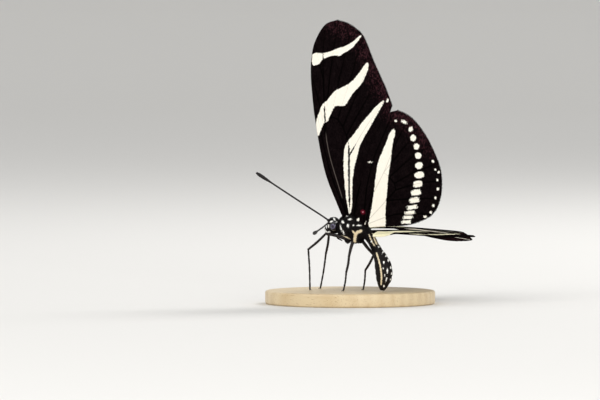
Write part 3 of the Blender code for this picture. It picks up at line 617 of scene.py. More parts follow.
def cuticle_material(name, dark, light, roughness, grain_mm):
    """Hard cuticle of a limb, feeler or tongue: satin, near black or brown, a little paler in patches."""
    # Fine scales dull the shine that bare cuticle would have
    made, tree, shader = new_material(name, Roughness=roughness, Specular_IOR_Level=0.25)
    place = add(tree, "ShaderNodeTexCoord").outputs["Object"]
    patches = add(tree, "ShaderNodeTexNoise", {"Vector": place, "Scale": 1 / (grain_mm * METRE),
                                               "Detail": 3.0}).outputs["Fac"]
    colour = add(tree, "ShaderNodeMix", {"Factor": patches, "A": linear(dark), "B": linear(light)},
                 data_type="RGBA").outputs["Result"]
    tree.links.new(colour, shader.inputs["Base Color"])
    bump = add(tree, "ShaderNodeBump", {"Height": patches, "Strength": 0.3, "Distance": 0.00003})
    tree.links.new(bump.outputs["Normal"], shader.inputs["Normal"])
    return made


def eye_material():
    """Compound eye: dark glossy lens facets, drawn 0.09 mm across, with a violet highlight painted in a ring.
    """
    made, tree, shader = new_material("facetted_eye_cornea", Roughness=0.3, Coat_Weight=0.5,
                                      Coat_Roughness=0.12)
    ring = add(tree, "ShaderNodeAttribute", attribute_name="ring").outputs["Fac"]
    place = add(tree, "ShaderNodeTexCoord").outputs["Object"]
    # Real facets are about 0.03 mm across and would not show
    facets = add(tree, "ShaderNodeTexVoronoi", {"Vector": place, "Scale": 11 / METRE,
                                                "Randomness": 0.2}).outputs["Distance"]
    patches = add(tree, "ShaderNodeTexNoise", {"Vector": place, "Scale": 1.5 / METRE,
                                               "Detail": 2.0}).outputs["Fac"]
    # Painted highlight: a violet ring, lighter than the lens
    highlight_share = add(tree, "ShaderNodeMapRange", {"Value": ring, "From Min": 0.14, "From Max": 0.02,
                                             "To Max": 0.5}).outputs[0]
    lens = linear("#0a080d")
    for share, colour in ((patches, "#1e1926"), (highlight_share, "#7d70a6")):
        lens = add(tree, "ShaderNodeMix", {"Factor": share, "A": lens, "B": linear(colour)},
                   data_type="RGBA").outputs["Result"]
    tree.links.new(lens, shader.inputs["Base Color"])
    bump = add(tree, "ShaderNodeBump", {"Height": facets, "Strength": 0.6, "Distance": 0.00003}, invert=True)
    tree.links.new(bump.outputs["Normal"], shader.inputs["Normal"])
    return made


def maple_material():
    """Waxed maple of the base: pale, with fine straight grain and small darker flecks."""
    made, tree, shader = new_material("waxed_maple", Roughness=0.42, Coat_Weight=0.15, Coat_Roughness=0.35)
    place = add(tree, "ShaderNodeTexCoord").outputs["Object"]
    # Growth rings about 2.5 mm apart run along the plate
    grain = add(tree, "ShaderNodeMapping", {"Vector": place, "Scale": (60.0, 800.0, 800.0)}).outputs["Vector"]
    warp = add(tree, "ShaderNodeTexNoise", {"Vector": grain, "Scale": 0.6, "Detail": 3.0}).outputs["Fac"]
    rings = add(tree, "ShaderNodeTexWave", {"Vector": grain, "Scale": 0.16, "Distortion": 5.0, "Detail": 2.0,
                                            "Detail Scale": 0.6}, bands_direction="Y").outputs["Fac"]
    # Flecks are about 2 mm long and 0.2 mm wide
    pores = add(tree, "ShaderNodeMapping", {"Vector": place, "Scale": (500.0, 6000.0, 6000.0)})
    fleck = add(tree, "ShaderNodeTexNoise", {"Vector": pores.outputs["Vector"], "Scale": 1.0,
                                             "Detail": 2.0}).outputs["Fac"]
    dark = add(tree, "ShaderNodeMapRange", {"Value": fleck, "From Min": 0.6, "From Max": 0.75}).outputs[0]
    wood = linear("#dcc49a")
    for share, colour in ((rings, "#cbae7f"), (warp, "#e6d3ae"), (dark, "#ab8a5c")):
        wood = add(tree, "ShaderNodeMix", {"Factor": share, "A": wood, "B": linear(colour)},
                   data_type="RGBA").outputs["Result"]
    tree.links.new(wood, shader.inputs["Base Color"])
    bump = add(tree, "ShaderNodeBump", {"Height": fleck, "Strength": 0.12, "Distance": 0.00005})
    tree.links.new(bump.outputs["Normal"], shader.inputs["Normal"])
    return made


# Wings


def under_side(s, t, is_hind, wing_bow, wing_camber):
    """How far a wing lies towards its underside: bow, curved front edge and place in the pair."""
    bow = wing_bow * np.sin(pi * t / WING_SPAN)
    camber = wing_camber * np.maximum(0.0, CAMBER_START - s) ** 2
    apart = mix(PAIR_GAP_ROOT, PAIR_GAP, rise(t, *PAIR_PARTING))
    return bow, camber + (apart / 2 if is_hind else -apart / 2)


def left_place(s, t, is_hind):
    """A point of a raised left wing, s rearwards and t outwards in its plane."""
    bow, under = under_side(s, t, is_hind, LEFT_BOW, LEFT_CAMBER)
    return np.stack([s, -(LEFT_ROOT_Y + LEFT_LEAN * t + bow + under), t], axis=1)


def right_place(s, t, is_hind):
    """A point of a spread right wing, which droops, pitches and is swept about its root."""
    bow, under = under_side(s, t, is_hind, RIGHT_BOW, RIGHT_CAMBER)
    sweep = HINDWING_SWEEP if is_hind else FOREWING_SWEEP
    back, out = s - RIGHT_ROOT.x, t - RIGHT_ROOT_T
    back, out = back * cos(sweep) + out * sin(sweep), out * cos(sweep) - back * sin(sweep)
    droop = out * sin(RIGHT_DROOP) + TIP_DROOP * np.maximum(0, out / FOREWING_LENGTH) ** 3
    z = RIGHT_ROOT.z + back * sin(RIGHT_PITCH) - droop + bow - under
    if is_hind:
        folded = rise(s, *CURL_RISE) * (1 - rise(s, *CURL_FALL))
        z -= INNER_MARGIN_CURL * (1 - rise(t, *CURL_OUTWARDS)) * folded
    return np.stack([RIGHT_ROOT.x + back, RIGHT_ROOT.y + out * cos(RIGHT_DROOP), z], axis=1)


def patch(edges, u, v):
    """Points inside four edges, evenly blended: u runs out from the root, v from front to rear."""
    front, outer, inner, root = (spline(edges[k]) for k in ("front", "outer", "inner", "root"))
    c0, c1 = along(front, u), along(inner, u)
    d0, d1 = along(root, v), along(outer, v)
    u, v = u[:, None], v[:, None]
    corners = ((1 - u) * (1 - v) * front[0] + u * (1 - v) * front[-1]
               + (1 - u) * v * inner[0] + u * v * inner[-1])
    return (1 - v) * c0 + v * c1 + (1 - u) * d0 + u * d1 - corners


def vein_distance(plan, veins):
    """Distance from each point of the wing's plane to the nearest vein."""
    return np.min([distance_to_line(plan, spline(line)) for line in veins.values()], axis=0)


def wing_markings(mesh, plan, is_hind, underside, edges):
    """Store what the scale colours need at each vertex."""
    stripes = HINDWING_STRIPES if is_hind else FOREWING_STRIPES
    stripe = spot_distance(plan, HINDWING_SPOTS if is_hind else FOREWING_SPOTS)
    for outline in stripes.values():
        stripe = np.minimum(stripe, outline_distance(plan, spline(outline, 5, closed=True)))
    for vein, (start, end, half_width) in ({} if is_hind else DARK_VEINS).items():
        reach = stretch(plan[:, 1], start, end, DARK_VEIN_FADE)
        line = distance_to_line(plan, spline(FOREWING_VEINS[vein]))
        stripe = np.maximum(stripe, np.where(reach > 0, half_width * reach - line, -FAR))
    if is_hind:
        dots = np.where(underside > 0.5, spot_distance(plan, MARGIN_DOTS + BASE_DOTS), FAR)
        stripe = np.minimum(stripe, dots)
    red = np.where(underside > 0.5, spot_distance(plan, RED_SPOTS if is_hind else []), FAR)
    # Brown dusting grows outwards and is thickest within 6 mm of the outer edge
    rim = distance_to_line(plan, spline(edges["outer"]))
    dust = mix(1.0, 0.35, rise(rim, 0.5, 6.5)) * rise(plan[:, 1], 8, 20) * underside
    to_vein = vein_distance(plan, HINDWING_VEINS if is_hind else FOREWING_VEINS)
    # Distance to the painted highlight, a pale line along the radius vein
    vein_highlight = np.full(len(plan), FAR)
    if not is_hind:
        highlit_vein, start, end = VEIN_HIGHLIGHT
        reach = stretch(plan[:, 1], start, end, VEIN_HIGHLIGHT_FADE)
        vein_highlight = distance_to_line(plan, spline(FOREWING_VEINS[highlit_vein])) + 0.3 * (1 - reach)
    flat_plan = np.column_stack([plan, np.zeros(len(plan))])
    for name, values in (("vein", to_vein), ("vein_highlight", vein_highlight), ("plan", flat_plan), ("stripe", stripe),
                         ("red", red), ("dust", dust), ("underside", underside)):
        add_attribute(mesh, name, values)


def relief(place, plan):
    """Depth of the pleats between the veins, and the slow waves of the sheet."""
    share = 1.0 if place is left_place else RIGHT_RELIEF
    wave = np.sin(plan[:, 0] * WAVE_REARWARDS + WAVE_START) * np.sin(plan[:, 1] * WAVE_OUTWARDS)
    return PLEAT_DEPTH * share, WAVE_DEPTH * share * wave


def wing_normals(place, plan, is_hind):
    """Points of the sheet's middle surface, and its direction there."""
    step = 0.02
    here = place(plan[:, 0], plan[:, 1], is_hind)
    rearwards = (place(plan[:, 0] + step, plan[:, 1], is_hind) - here) / step
    outwards = (place(plan[:, 0], plan[:, 1] + step, is_hind) - here) / step
    return here, unit(np.cross(rearwards, outwards))


def faces_under(place, outward):
    """1 where a direction points to the wing's underside: left wings show it outwards, right wings below."""
    under = np.array((0, -1.0, 0)) if place is left_place else np.array((0, 0, -1.0))
    return (outward @ under > 0).astype(float)


def wing(name, place, is_hind, material):
    """A thin two-faced sheet with pleats between its veins, a tube on every vein and a fringe."""
    edges = HINDWING_EDGES if is_hind else FOREWING_EDGES
    veins = HINDWING_VEINS if is_hind else FOREWING_VEINS
    columns, rows = HINDWING_GRID if is_hind else FOREWING_GRID
    bm = bmesh.new()
    bmesh.ops.create_grid(bm, x_segments=columns, y_segments=rows, size=0.5)
    lifted = bmesh.ops.extrude_face_region(bm, geom=bm.faces[:], use_keep_orig=True)
    top = [item for item in lifted["geom"] if isinstance(item, bmesh.types.BMVert)]
    bmesh.ops.translate(bm, verts=top, vec=(0, 0, 1))
    bmesh.ops.recalc_face_normals(bm, faces=bm.faces[:])
    mesh = mesh_of(name, bm)
    flat = places(mesh)
    plan = patch(edges, np.clip(flat[:, 0] + 0.5, 0, 1), np.clip(flat[:, 1] + 0.5, 0, 1))
    side = np.where(flat[:, 2] > 0.5, 1.0, -1.0)
    here, normal = wing_normals(place, plan, is_hind)
    pleat, wave = relief(place, plan)
    ridge = 1 - smooth(vein_distance(plan, veins) / PLEAT_WIDTH)
    offset = side * WING_THICK / 2 + pleat * ridge + wave
    mesh.vertices.foreach_set("co", (here + normal * offset[:, None]).ravel())
    underside = faces_under(place, normal * side[:, None])
    wing_markings(mesh, plan, is_hind, underside, edges)
    finish(name, mesh, material, replaces=[name])
    vein_tubes(name + "_veins", veins, place, is_hind, material, edges)
    fringe(name + "_fringe", edges, place, is_hind, material)


def fringe(name, edges, place, is_hind, material):
    """A row of short flat scales that stand out all along the wing's free edges."""
    rng = np.random.default_rng(len(name))
    lines = [spline(edges[edge]) for edge in FRINGE_REACH]
    plans, lengths = [], []
    for line, reach in zip(lines, FRINGE_REACH.values()):
        count = int(np.linalg.norm(np.diff(line, axis=0), axis=1).sum() / FRINGE_SPACING)
        plans.append(along(line, np.linspace(0, 1, count)))
        lengths.append(np.full(count, reach))
    plan = np.vstack(plans)
    length = np.concatenate(lengths) * rng.uniform(0.7, 1.15, len(plan))
    middle = np.vstack(lines).mean(axis=0)
    run = unit(np.vstack([np.gradient(part, axis=0) for part in plans]))
    away = np.column_stack([-run[:, 1], run[:, 0]])
    away *= np.sign(np.einsum("ij,ij->i", away, plan - middle))[:, None]
    # The scales lean towards the tip
    away += FRINGE_LEAN * np.sign(plan[:, 1:] - 2.0) * np.array((0.0, 1.0))
    here, normal = wing_normals(place, plan, is_hind)
    _, wave = relief(place, plan)
    root = here + normal * (wave + rng.uniform(-0.05, 0.05, len(plan)))[:, None]
    out_dir = unit(wing_normals(place, plan + away * 0.3, is_hind)[0] - here)
    across = np.cross(out_dir, normal)
    unwrap = np.column_stack([(plan[:, 0] + 10) / 36, plan[:, 1] / 48])
    mesh = tufts(name, root - out_dir * FRINGE_SUNK, normal, out_dir, out_dir + across * 0.1,
                 length + FRINGE_SUNK, np.full(len(plan), FRINGE_WIDTH), {}, unwrap)
    plan = np.repeat(plan, HAIR_POINTS, axis=0)
    wing_markings(mesh, plan, is_hind, np.full(len(plan), 0.5), edges)
    finish(name, mesh, material)


def tube_mesh(name, line, radii, sides=8, rings=None):
    """A round tube along a line: a grid wrapped round it, its seam closed and its ends capped."""
    line = np.asarray(line, dtype=float)
    rings = rings or len(line) - 1
    bm = bmesh.new()
    bmesh.ops.create_grid(bm, x_segments=sides, y_segments=rings, size=0.5)
    u = np.array([vert.co.x + 0.5 for vert in bm.verts])
    v = np.array([vert.co.y + 0.5 for vert in bm.verts])
    spots = along(line, v)
    ahead = unit(along(line, np.clip(v + TUBE_LOOK, 0, 1)) - along(line, np.clip(v - TUBE_LOOK, 0, 1)))
    side = unit(np.cross(ahead, TUBE_SEAM))
    up = np.cross(side, ahead)
    radius = np.interp(v, np.linspace(0, 1, len(radii)), radii)
    angle = 2 * pi * u
    co = spots + (side * np.cos(angle)[:, None] + up * np.sin(angle)[:, None]) * radius[:, None]
    for vert, spot in zip(bm.verts, co):
        vert.co = spot
    return closed_mesh(name, bm, sides)


def closed_mesh(name, bm, sides):
    """Close the seam and the two ends of a wrapped grid."""
    bmesh.ops.remove_doubles(bm, verts=bm.verts[:], dist=1e-5)
    bmesh.ops.holes_fill(bm, edges=bm.edges[:], sides=sides)
    bmesh.ops.recalc_face_normals(bm, faces=bm.faces[:])
    return mesh_of(name, bm)


def joined(name, meshes):
    """One mesh of several."""
    bm = bmesh.new()
    for mesh in meshes:
        bm.from_mesh(mesh)
        bpy.data.meshes.remove(mesh)
    return mesh_of(name, bm)


def vein_tubes(name, veins, place, is_hind, material, edges):
    """The wing's veins, as fine tubes sunk half into the sheet and tapering to its edge."""
    tubes, lines, plans = [], [], []
    for vein, points in veins.items():
        plan = along(spline(points), np.linspace(0, 1, VEIN_POINTS))
        here, normal = wing_normals(place, plan, is_hind)
        pleat, wave = relief(place, plan)
        line = here + normal * (pleat + wave)[:, None]
        reach = np.linalg.norm(plan - np.array(VEIN_FOOT), axis=1)
        radii = mix(VEIN_FOOT_RADIUS, VEIN_EDGE_RADIUS, np.clip(reach / WING_SPAN, 0, 1))
        tubes.append(tube_mesh(vein, line, radii, sides=6))
        lines.append(line)
        plans.append(plan)
    mesh = joined(name, tubes)
    co = places(mesh)
    lines = np.concatenate(lines)
    nearest = np.array([np.argmin(np.sum((lines - p) ** 2, axis=1)) for p in co])
    plan = np.concatenate(plans)[nearest]
    wing_markings(mesh, plan, is_hind, faces_under(place, co - lines[nearest]), edges)
    finish(name, mesh, material)


# Body


def thorax_ring(u):
    """Centre x, centre z, half width and half height of the thorax at a fraction of its length."""
    front = -THORAX_LENGTH / 2 + NECK_OVERLAP
    span = (THORAX_LENGTH - NECK_OVERLAP) / (1 - cos(pi * THORAX_END))
    turn = pi * mix(THORAX_START, THORAX_END, u)
    full = sin(turn) ** THORAX_FULLNESS
    half_height = THORAX_HEIGHT / 2 * full * (1 - THORAX_TAPER * float(smooth(u)))
    sag = THORAX_SAG * float(rise(u, THORAX_SAG_START, 1.0))
    return front + span * (cos(pi * THORAX_START) - cos(turn)), -sag, THORAX_WIDTH / 2 * full, half_height


def oval(centre, size, name="oval", around=24):
    """A ball of the given width, depth and height."""
    bm = bmesh.new()
    bmesh.ops.create_uvsphere(bm, u_segments=around, v_segments=around * 2 // 3, radius=0.5)
    shape = Matrix.Translation(centre) @ Matrix.Diagonal((*size, 1))
    bmesh.ops.transform(bm, matrix=shape, verts=bm.verts[:])
    return mesh_of(name, bm)


def ring_body(name, rings, sides=28):
    """A closed barrel through rings of (centre, across, up, half width, half height)."""
    bm = bmesh.new()
    bmesh.ops.create_grid(bm, x_segments=sides, y_segments=len(rings) - 1, size=0.5)
    for vert in bm.verts:
        centre, across, up, half_width, half_height = rings[round((vert.co.y + 0.5) * (len(rings) - 1))]
        angle = 2 * pi * (vert.co.x + 0.5)
        vert.co = centre + across * (half_width * cos(angle)) + up * (half_height * sin(angle))
    return closed_mesh(name, bm, sides)


def abdomen_path():
    """The abdomen's line in side view, and its width and height along it."""
    dense = spline([(x, z) for x, z, _, _ in ABDOMEN_STATIONS], 12)
    sizes = spline([(w, h) for _, _, w, h in ABDOMEN_STATIONS], 12)
    return dense, sizes


def body_skin():
    """One seamless skin over head, neck, thorax, leg roots and abdomen."""
    left_right, upright = Vector((0, 1, 0)), Vector((0, 0, 1))
    thorax_rings = []
    for i in range(THORAX_RINGS + 1):
        x, z, half_width, half_height = thorax_ring(i / THORAX_RINGS)
        thorax_rings.append((Vector((x, 0, z)), left_right, upright, half_width, half_height))
    dense, sizes = abdomen_path()
    abdomen_rings = []
    for i in range(0, len(dense), 2):
        a, b = dense[max(i - 2, 0)], dense[min(i + 2, len(dense) - 1)]
        run = (b - a) / np.linalg.norm(b - a)
        up = Vector((-run[1], 0, run[0]))
        centre = Vector((dense[i][0], 0, dense[i][1]))
        abdomen_rings.append((centre, left_right, up, sizes[i][0] / 2, sizes[i][1] / 2))
    parts = [ring_body("thorax", thorax_rings), ring_body("abdomen", abdomen_rings)]
    for centre, size in ((HEAD_CENTRE, HEAD_SIZE), NECK_SWELLING, FACE_SWELLING):
        parts.append(oval(Vector(centre), size))
    pairs = [WING_ROOT_SWELLING] + [(joints[0], LEG_ROOT_SIZE) for joints in LEGS.values()]
    for (x, y, z), size in pairs:
        for side in (-1, 1):
            parts.append(oval(Vector((x, side * y, z)), size))
    mesh = joined("body_skin", parts)
    piece = bpy.data.objects.new("body_skin_parts", mesh)
    bpy.context.scene.collection.objects.link(piece)
    remesh = piece.modifiers.new("one_skin", "REMESH")
    remesh.mode = "VOXEL"
    remesh.voxel_size = SKIN_VOXEL
    soften = piece.modifiers.new("soften", "SMOOTH")
    soften.factor = 0.5
    soften.iterations = SKIN_SOFTENING
    bpy.context.view_layer.update()
    skin = bpy.data.meshes.new_from_object(piece.evaluated_get(bpy.context.evaluated_depsgraph_get()))
    bpy.data.objects.remove(piece)
    bpy.data.meshes.remove(mesh)
    skin.name = "body_skin"
    return skin


def abdomen_frame(points):
    """Fraction along the abdomen and angle round it, for each point."""
    dense, _ = abdomen_path()
    gaps = (points[:, None, 0] - dense[None, :, 0]) ** 2 + (points[:, None, 2] - dense[None, :, 1]) ** 2
    nearest = np.argmin(gaps, axis=1)
    run = unit(np.gradient(dense, axis=0))
    up = points[:, [0, 2]] - dense[nearest]
    height = up[:, 0] * -run[nearest][:, 1] + up[:, 1] * run[nearest][:, 0]
    angle = np.arctan2(height, points[:, 1])
    return nearest / (len(dense) - 1), angle


def vertex_normals(mesh):
    """The mesh's outward directions, vertex by vertex."""
    normals = np.empty(len(mesh.vertices) * 3, dtype=np.float32)
    mesh.vertex_normals.foreach_get("vector", normals)
    return normals.reshape(-1, 3).astype(float)


def view_axes():
    """The photograph's right, into-the-picture and up directions."""
    right = Vector((cos(VIEW_TURN), sin(VIEW_TURN), 0))
    ahead = Vector((-sin(VIEW_TURN) * cos(VIEW_RISE), cos(VIEW_TURN) * cos(VIEW_RISE), -sin(VIEW_RISE)))
    return right, ahead, right.cross(ahead)


def on_skin(tree, pixel):
    """The point of the skin that shows at a pixel of the photograph."""
    right, ahead, up = view_axes()
    start = right * ((pixel[0] - THORAX_PIXEL[0]) * MM_PER_PIXEL)
    start += up * ((THORAX_PIXEL[1] - pixel[1]) * MM_PER_PIXEL)
    hit = tree.ray_cast(start - ahead * FAR, ahead)[0]
    return tree.find_nearest(start)[0] if hit is None else hit


def body_markings(mesh):
    """White spots and cream streaks, put where the photograph shows them and mirrored."""
    co = places(mesh)
    tree = BVHTree.FromPolygons(co.tolist(), [tuple(face.vertices) for face in mesh.polygons])
    folded = np.column_stack([co[:, 0], -np.abs(co[:, 1]), co[:, 2]])
    right, ahead, up = (np.array(axis) for axis in view_axes())
    spot = np.full(len(co), FAR)
    for x, y, half_x, half_y, tilt in BODY_SPOTS:
        centre = np.array(on_skin(tree, (x, y)))
        centre[1] = -abs(centre[1])
        d = folded - centre
        c, s = cos(radians(tilt)), sin(radians(tilt))
        a, b, deep = d @ right, d @ up, d @ ahead
        a, b = (a * c + b * s) / half_x, (b * c - a * s) / half_y
        away = np.sqrt(a * a + b * b + (deep / SPOT_DEPTH) ** 2)
        spot = np.minimum(spot, (away - 1) * min(half_x, half_y))
    streak = np.full(len(co), FAR)
    for line, half_width in BODY_STREAKS:
        pts = np.array([on_skin(tree, p) for p in spline(line, 4)])
        pts[:, 1] = -np.abs(pts[:, 1])
        streak = np.minimum(streak, distance_to_line(folded, pts) - half_width)
    return spot, streak


def add_body(material):
    """The skin with its ring grooves and markings, and the coat in two pieces."""
    skin = body_skin()
    co = places(skin)
    normal = vertex_normals(skin)
    fraction, _ = abdomen_frame(co)
    is_abdomen = rise(fraction, *ABDOMEN_JOIN)
    groove = 1 - np.abs(np.sin(pi * ABDOMEN_RINGS * fraction)) ** 0.5
    co -= normal * (ABDOMEN_GROOVE * groove * is_abdomen)[:, None]
    skin.vertices.foreach_set("co", co.ravel())
    skin.update()
    spot, streak = body_markings(skin)
    add_attribute(skin, "spot", spot)
    add_attribute(skin, "streak", streak)
    fur = body_fur(skin, spot, streak, is_abdomen)
    flesh = ["head", "thorax", "abdomen_front", "abdomen_middle", "abdomen_tip"]
    finish("body_skin", skin, material, replaces=flesh)
    for number, mesh in enumerate(fur):
        finish(f"body_fur_{number + 1}", mesh, material)


def scattered(mesh, density, rng):
    """Random places over a mesh: a function that reads vertex values there, roots and outward directions."""
    co, normal = places(mesh), vertex_normals(mesh)
    mesh.calc_loop_triangles()
    tris = np.empty(len(mesh.loop_triangles) * 3, dtype=np.int32)
    mesh.loop_triangles.foreach_get("vertices", tris)
    tris = tris.reshape(-1, 3)
    corners = co[tris]
    crossed = np.cross(corners[:, 1] - corners[:, 0], corners[:, 2] - corners[:, 0])
    area = 0.5 * np.linalg.norm(crossed, axis=1)
    weights = area * np.broadcast_to(density, len(co))[tris].mean(axis=1)
    total = int(weights.sum())
    pick = rng.choice(len(tris), size=total, p=weights / weights.sum())
    share = rng.dirichlet((1, 1, 1), size=total)

    def at(values):
        return np.einsum("ij,ij...->i...", share, values[tris[pick]])

    return at, at(co), unit(at(normal))


def laid(rear, up, lift):
    """The lie of hairs along the surface, and their direction once lifted off it."""
    lie = unit(rear - up * np.einsum("ij,ij->i", rear, up)[:, None])
    return lie, lie * np.cos(lift)[:, None] + up * np.sin(lift)[:, None]


def body_fur(skin, spot, streak, is_abdomen):
    """Short hairs and raised scales that lie backwards over the skin, longest on the chest."""
    rng = np.random.default_rng(7)
    head_part = 1 - rise(places(skin)[:, 0], *HEAD_COAT_END)
    density = mix(FUR_DENSITY["chest"], FUR_DENSITY["head"], head_part)
    density = mix(density, FUR_DENSITY["abdomen"], is_abdomen)
    at, root, up = scattered(skin, density, rng)
    total = len(root)
    head, belly = at(head_part), at(is_abdomen)
    folded = np.column_stack([root[:, 0], np.abs(root[:, 1]), root[:, 2]])
    from_eye = np.linalg.norm((folded - np.array(EYE_CENTRE)) / BARE_ROUND_EYE, axis=1)
    top = rise(up[:, 2], 0.2, 0.8)
    length = mix(mix(FUR_LENGTH["chest"], FUR_LENGTH["back"], top), FUR_LENGTH["head"], head)
    length = mix(length, FUR_LENGTH["abdomen"], belly) * rng.uniform(0.65, 1.2, total)
    # Short near the markings, so that dark hairs do not cover them
    marked = np.minimum(at(spot), at(streak))
    length *= mix(0.5, 1.0, rise(marked, 0.1, 0.6))
    # The coat lies rearwards on the chest and down along the abdomen
    rear = mix(np.array((1.0, 0.0, -0.15)), np.array((0.25, 0, -1.0)), belly[:, None])
    lift = np.clip(rng.normal(0.62, 0.12, total), 0.3, 1.0) * (1 - 0.65 * belly)
    lift = mix(lift, 0.85, head * 0.5 * top)
    lie, out_dir = laid(rear + rng.normal(0, 0.22, (total, 3)), up, lift)
    width = mix(FUR_WIDTH["chest"], FUR_WIDTH["abdomen"], belly)
    fraction, turn = abdomen_frame(root)
    # Abdomen and chest each have their own half of the bake map
    on_belly = belly > 0.5
    run = np.where(on_belly, 0.52 + 0.46 * fraction, 0.02 + 0.46 * (root[:, 0] + 7.6) / 11.5)
    turn = np.where(on_belly, turn, np.arctan2(root[:, 2], root[:, 1])) / (2 * pi) + 0.5
    unwrap = np.column_stack([run, turn])
    values = {"spot": at(spot), "streak": at(streak)}
    out = []
    for part in np.array_split(np.nonzero(from_eye > 1)[0], 2):
        out.append(tufts("fur", root[part], up[part], out_dir[part], lie[part], length[part], width[part],
                         {key: value[part] for key, value in values.items()}, unwrap[part]))
    return out


def tufts(name, root, up, out_dir, lie, length, width, values, unwrap):
    """Many three-sided tapering hairs in one mesh, each bent towards the lie of the coat."""
    count = len(root)
    across = unit(np.cross(out_dir, up))
    thick = np.cross(across, out_dir)
    sunk = root - up * HAIR_SUNK
    middle = sunk + out_dir * (length * HAIR_BEND)[:, None]
    tip = middle + (out_dir * 0.75 + lie * 0.45) * (length * (1 - HAIR_BEND))[:, None]
    rings = []
    for centre, size in ((sunk, width), (middle, width * 0.75)):
        for angle in (0, 2 * pi / 3, 4 * pi / 3):
            rings.append(centre + (across * cos(angle) + thick * sin(angle) * 0.6) * size[:, None])
    rings.append(tip)
    co = np.stack(rings, axis=1).reshape(-1, 3)
    quads = np.array([(0, 1, 4, 3), (1, 2, 5, 4), (2, 0, 3, 5)])
    ends = np.array([(3, 4, 6), (4, 5, 6), (5, 3, 6), (2, 1, 0)])
    start = (np.arange(count) * HAIR_POINTS)[:, None, None]
    faces = (start + quads).reshape(-1, 4).tolist() + (start + ends).reshape(-1, 3).tolist()
    mesh = bpy.data.meshes.new(name)
    mesh.from_pydata(co, [], faces)
    for key, value in values.items():
        add_attribute(mesh, key, np.repeat(value, HAIR_POINTS, axis=0))
    bake = mesh.uv_layers.new(name="OFBake")
    loops = np.empty(len(mesh.loops), dtype=np.int32)
    mesh.loops.foreach_get("vertex_index", loops)
    # Each hair has a small patch at its root's place on the unwrapped surface
    centre = 0.02 + 0.96 * np.clip(unwrap, 0, 1)
    corner = np.array([(-1, -1), (0, -1), (1, -1), (-1, 0), (0, 0), (1, 0), (0, 1)]) * BAKE_PATCH
    uv = np.repeat(centre, HAIR_POINTS, axis=0) + np.tile(corner, (count, 1))
    bake.data.foreach_set("uv", uv[loops].astype(np.float32).ravel())
    return mesh


def add_eyes(material):
    """The two eyes, each with its distance to the ring of painted violet highlight."""
    for side, name in ((-1, "eye_left"), (1, "eye_right")):
        centre = Vector((EYE_CENTRE.x, side * EYE_CENTRE.y, EYE_CENTRE.z))
        mesh = oval(centre, EYE_SIZE, name, around=48)
        from_highlight = (places(mesh) - np.array(centre))[:, [0, 2]] - EYE_HIGHLIGHT_OFFSET
        add_attribute(mesh, "ring", np.abs(np.linalg.norm(from_highlight, axis=1) - EYE_HIGHLIGHT_RADIUS))
        finish(name + "_cornea", mesh, material, replaces=[name])


def add_antennae(material):
    """Feelers of many short joints, a little waisted at each, thickening into a club."""
    for name, route in ANTENNAE.items():
        line = spline(route, 12)
        rings = 5 * ANTENNA_JOINTS
        u = np.linspace(0, 1, rings)
        club = rise(u, *ANTENNA_CLUB_RISE) * (1 - ANTENNA_TIP_NARROWING * rise(u, *ANTENNA_TIP))
        radius = ANTENNA_RADIUS + ANTENNA_CLUB * club
        joints = 1 - ANTENNA_WAIST * np.abs(np.cos(pi * ANTENNA_JOINTS * u)) ** 6
        shaft = tube_mesh(name, line, radius * joints, sides=12, rings=rings)
        socket = oval(Vector(along(line, [ANTENNA_SOCKET_PLACE])[0]), (ANTENNA_SOCKET,) * 3)
        mesh = joined(name, [shaft, socket])
        finish(name + "_shaft", mesh, material, replaces=[name])


def limb_hairs(name, mesh, line, coat, width, rng, values):
    """Short stiff hairs over a limb that point to its far end. Their coat is density, length and lift."""
    density, length, lift = coat
    at, root, up = scattered(mesh, density, rng)
    gaps = np.linalg.norm(root[:, None] - line[None], axis=2)
    nearest = np.argmin(gaps, axis=1)
    run = unit(np.gradient(line, axis=0)[nearest])
    total = len(root)
    lie, out_dir = laid(run + rng.normal(0, 0.15, (total, 3)), up, rng.normal(lift, 0.1, total))
    side = unit(np.cross(run, TUBE_SEAM))
    turn = np.arctan2(np.einsum("ij,ij->i", up, np.cross(side, run)), np.einsum("ij,ij->i", up, side))
    unwrap = np.column_stack([nearest / len(line), turn / (2 * pi) + 0.5])
    return tufts(name, root, up, out_dir, lie, length * rng.uniform(0.7, 1.2, total), np.full(total, width),
                 {key: at(value) for key, value in values.items()}, unwrap)


def leg_meshes(leg, joints, rng):
    """Femur, tibia and five-jointed tarsus with claws, bent softly at the knee and ankle, and hairs."""
    side = -1 if leg.endswith("left") else 1
    pts = [np.array((*joint, FLOOR_OF_FEET + FOOT_ABOVE_BASE)[:3]) * (1, side, 1) for joint in joints]
    u = np.linspace(0, 1, LEG_RINGS)
    spindle = np.sin(pi * u)
    beads = np.abs(np.sin(pi * TARSUS_JOINTS * u)) ** 0.5
    out, hairs = [], []
    for i, form in enumerate((spindle, spindle, beads)):
        a, b = pts[i], pts[i + 1]
        radius, narrowing, swelling, sag = LEG_SEGMENTS[i]
        down = unit(np.cross(b - a, (0, 1.0, 0)))
        route = [a, (a + b) / 2 + down * sag, b]
        if i == 0:
            route.insert(0, a * FEMUR_ROOT)
        line = spline(route, 12)
        segment = tube_mesh(leg, line, radius - narrowing * u + swelling * form, sides=12, rings=LEG_RINGS)
        hairs.append(limb_hairs(leg, segment, line, LEG_HAIRS[i], LEG_HAIR_WIDTH, rng, {}))
        out.append(segment)
    for joint, size in ((pts[1], KNEE_SIZE), (pts[2], ANKLE_SIZE)):
        out.append(oval(Vector(joint), (size, size, size)))
    foot = pts[3]
    ahead = unit((pts[3] - pts[2]) * (1, 1, 0))
    for turn in (-CLAW_SPREAD, CLAW_SPREAD):
        aim = np.array((ahead[0] * cos(turn) - ahead[1] * sin(turn),
                        ahead[0] * sin(turn) + ahead[1] * cos(turn), 0))
        claw = [foot + aim * reach + (0, 0, height) for reach, height in CLAW]
        out.append(tube_mesh(leg, spline(claw, 8), CLAW_RADII, sides=6, rings=8))
    return joined(leg, out), hairs


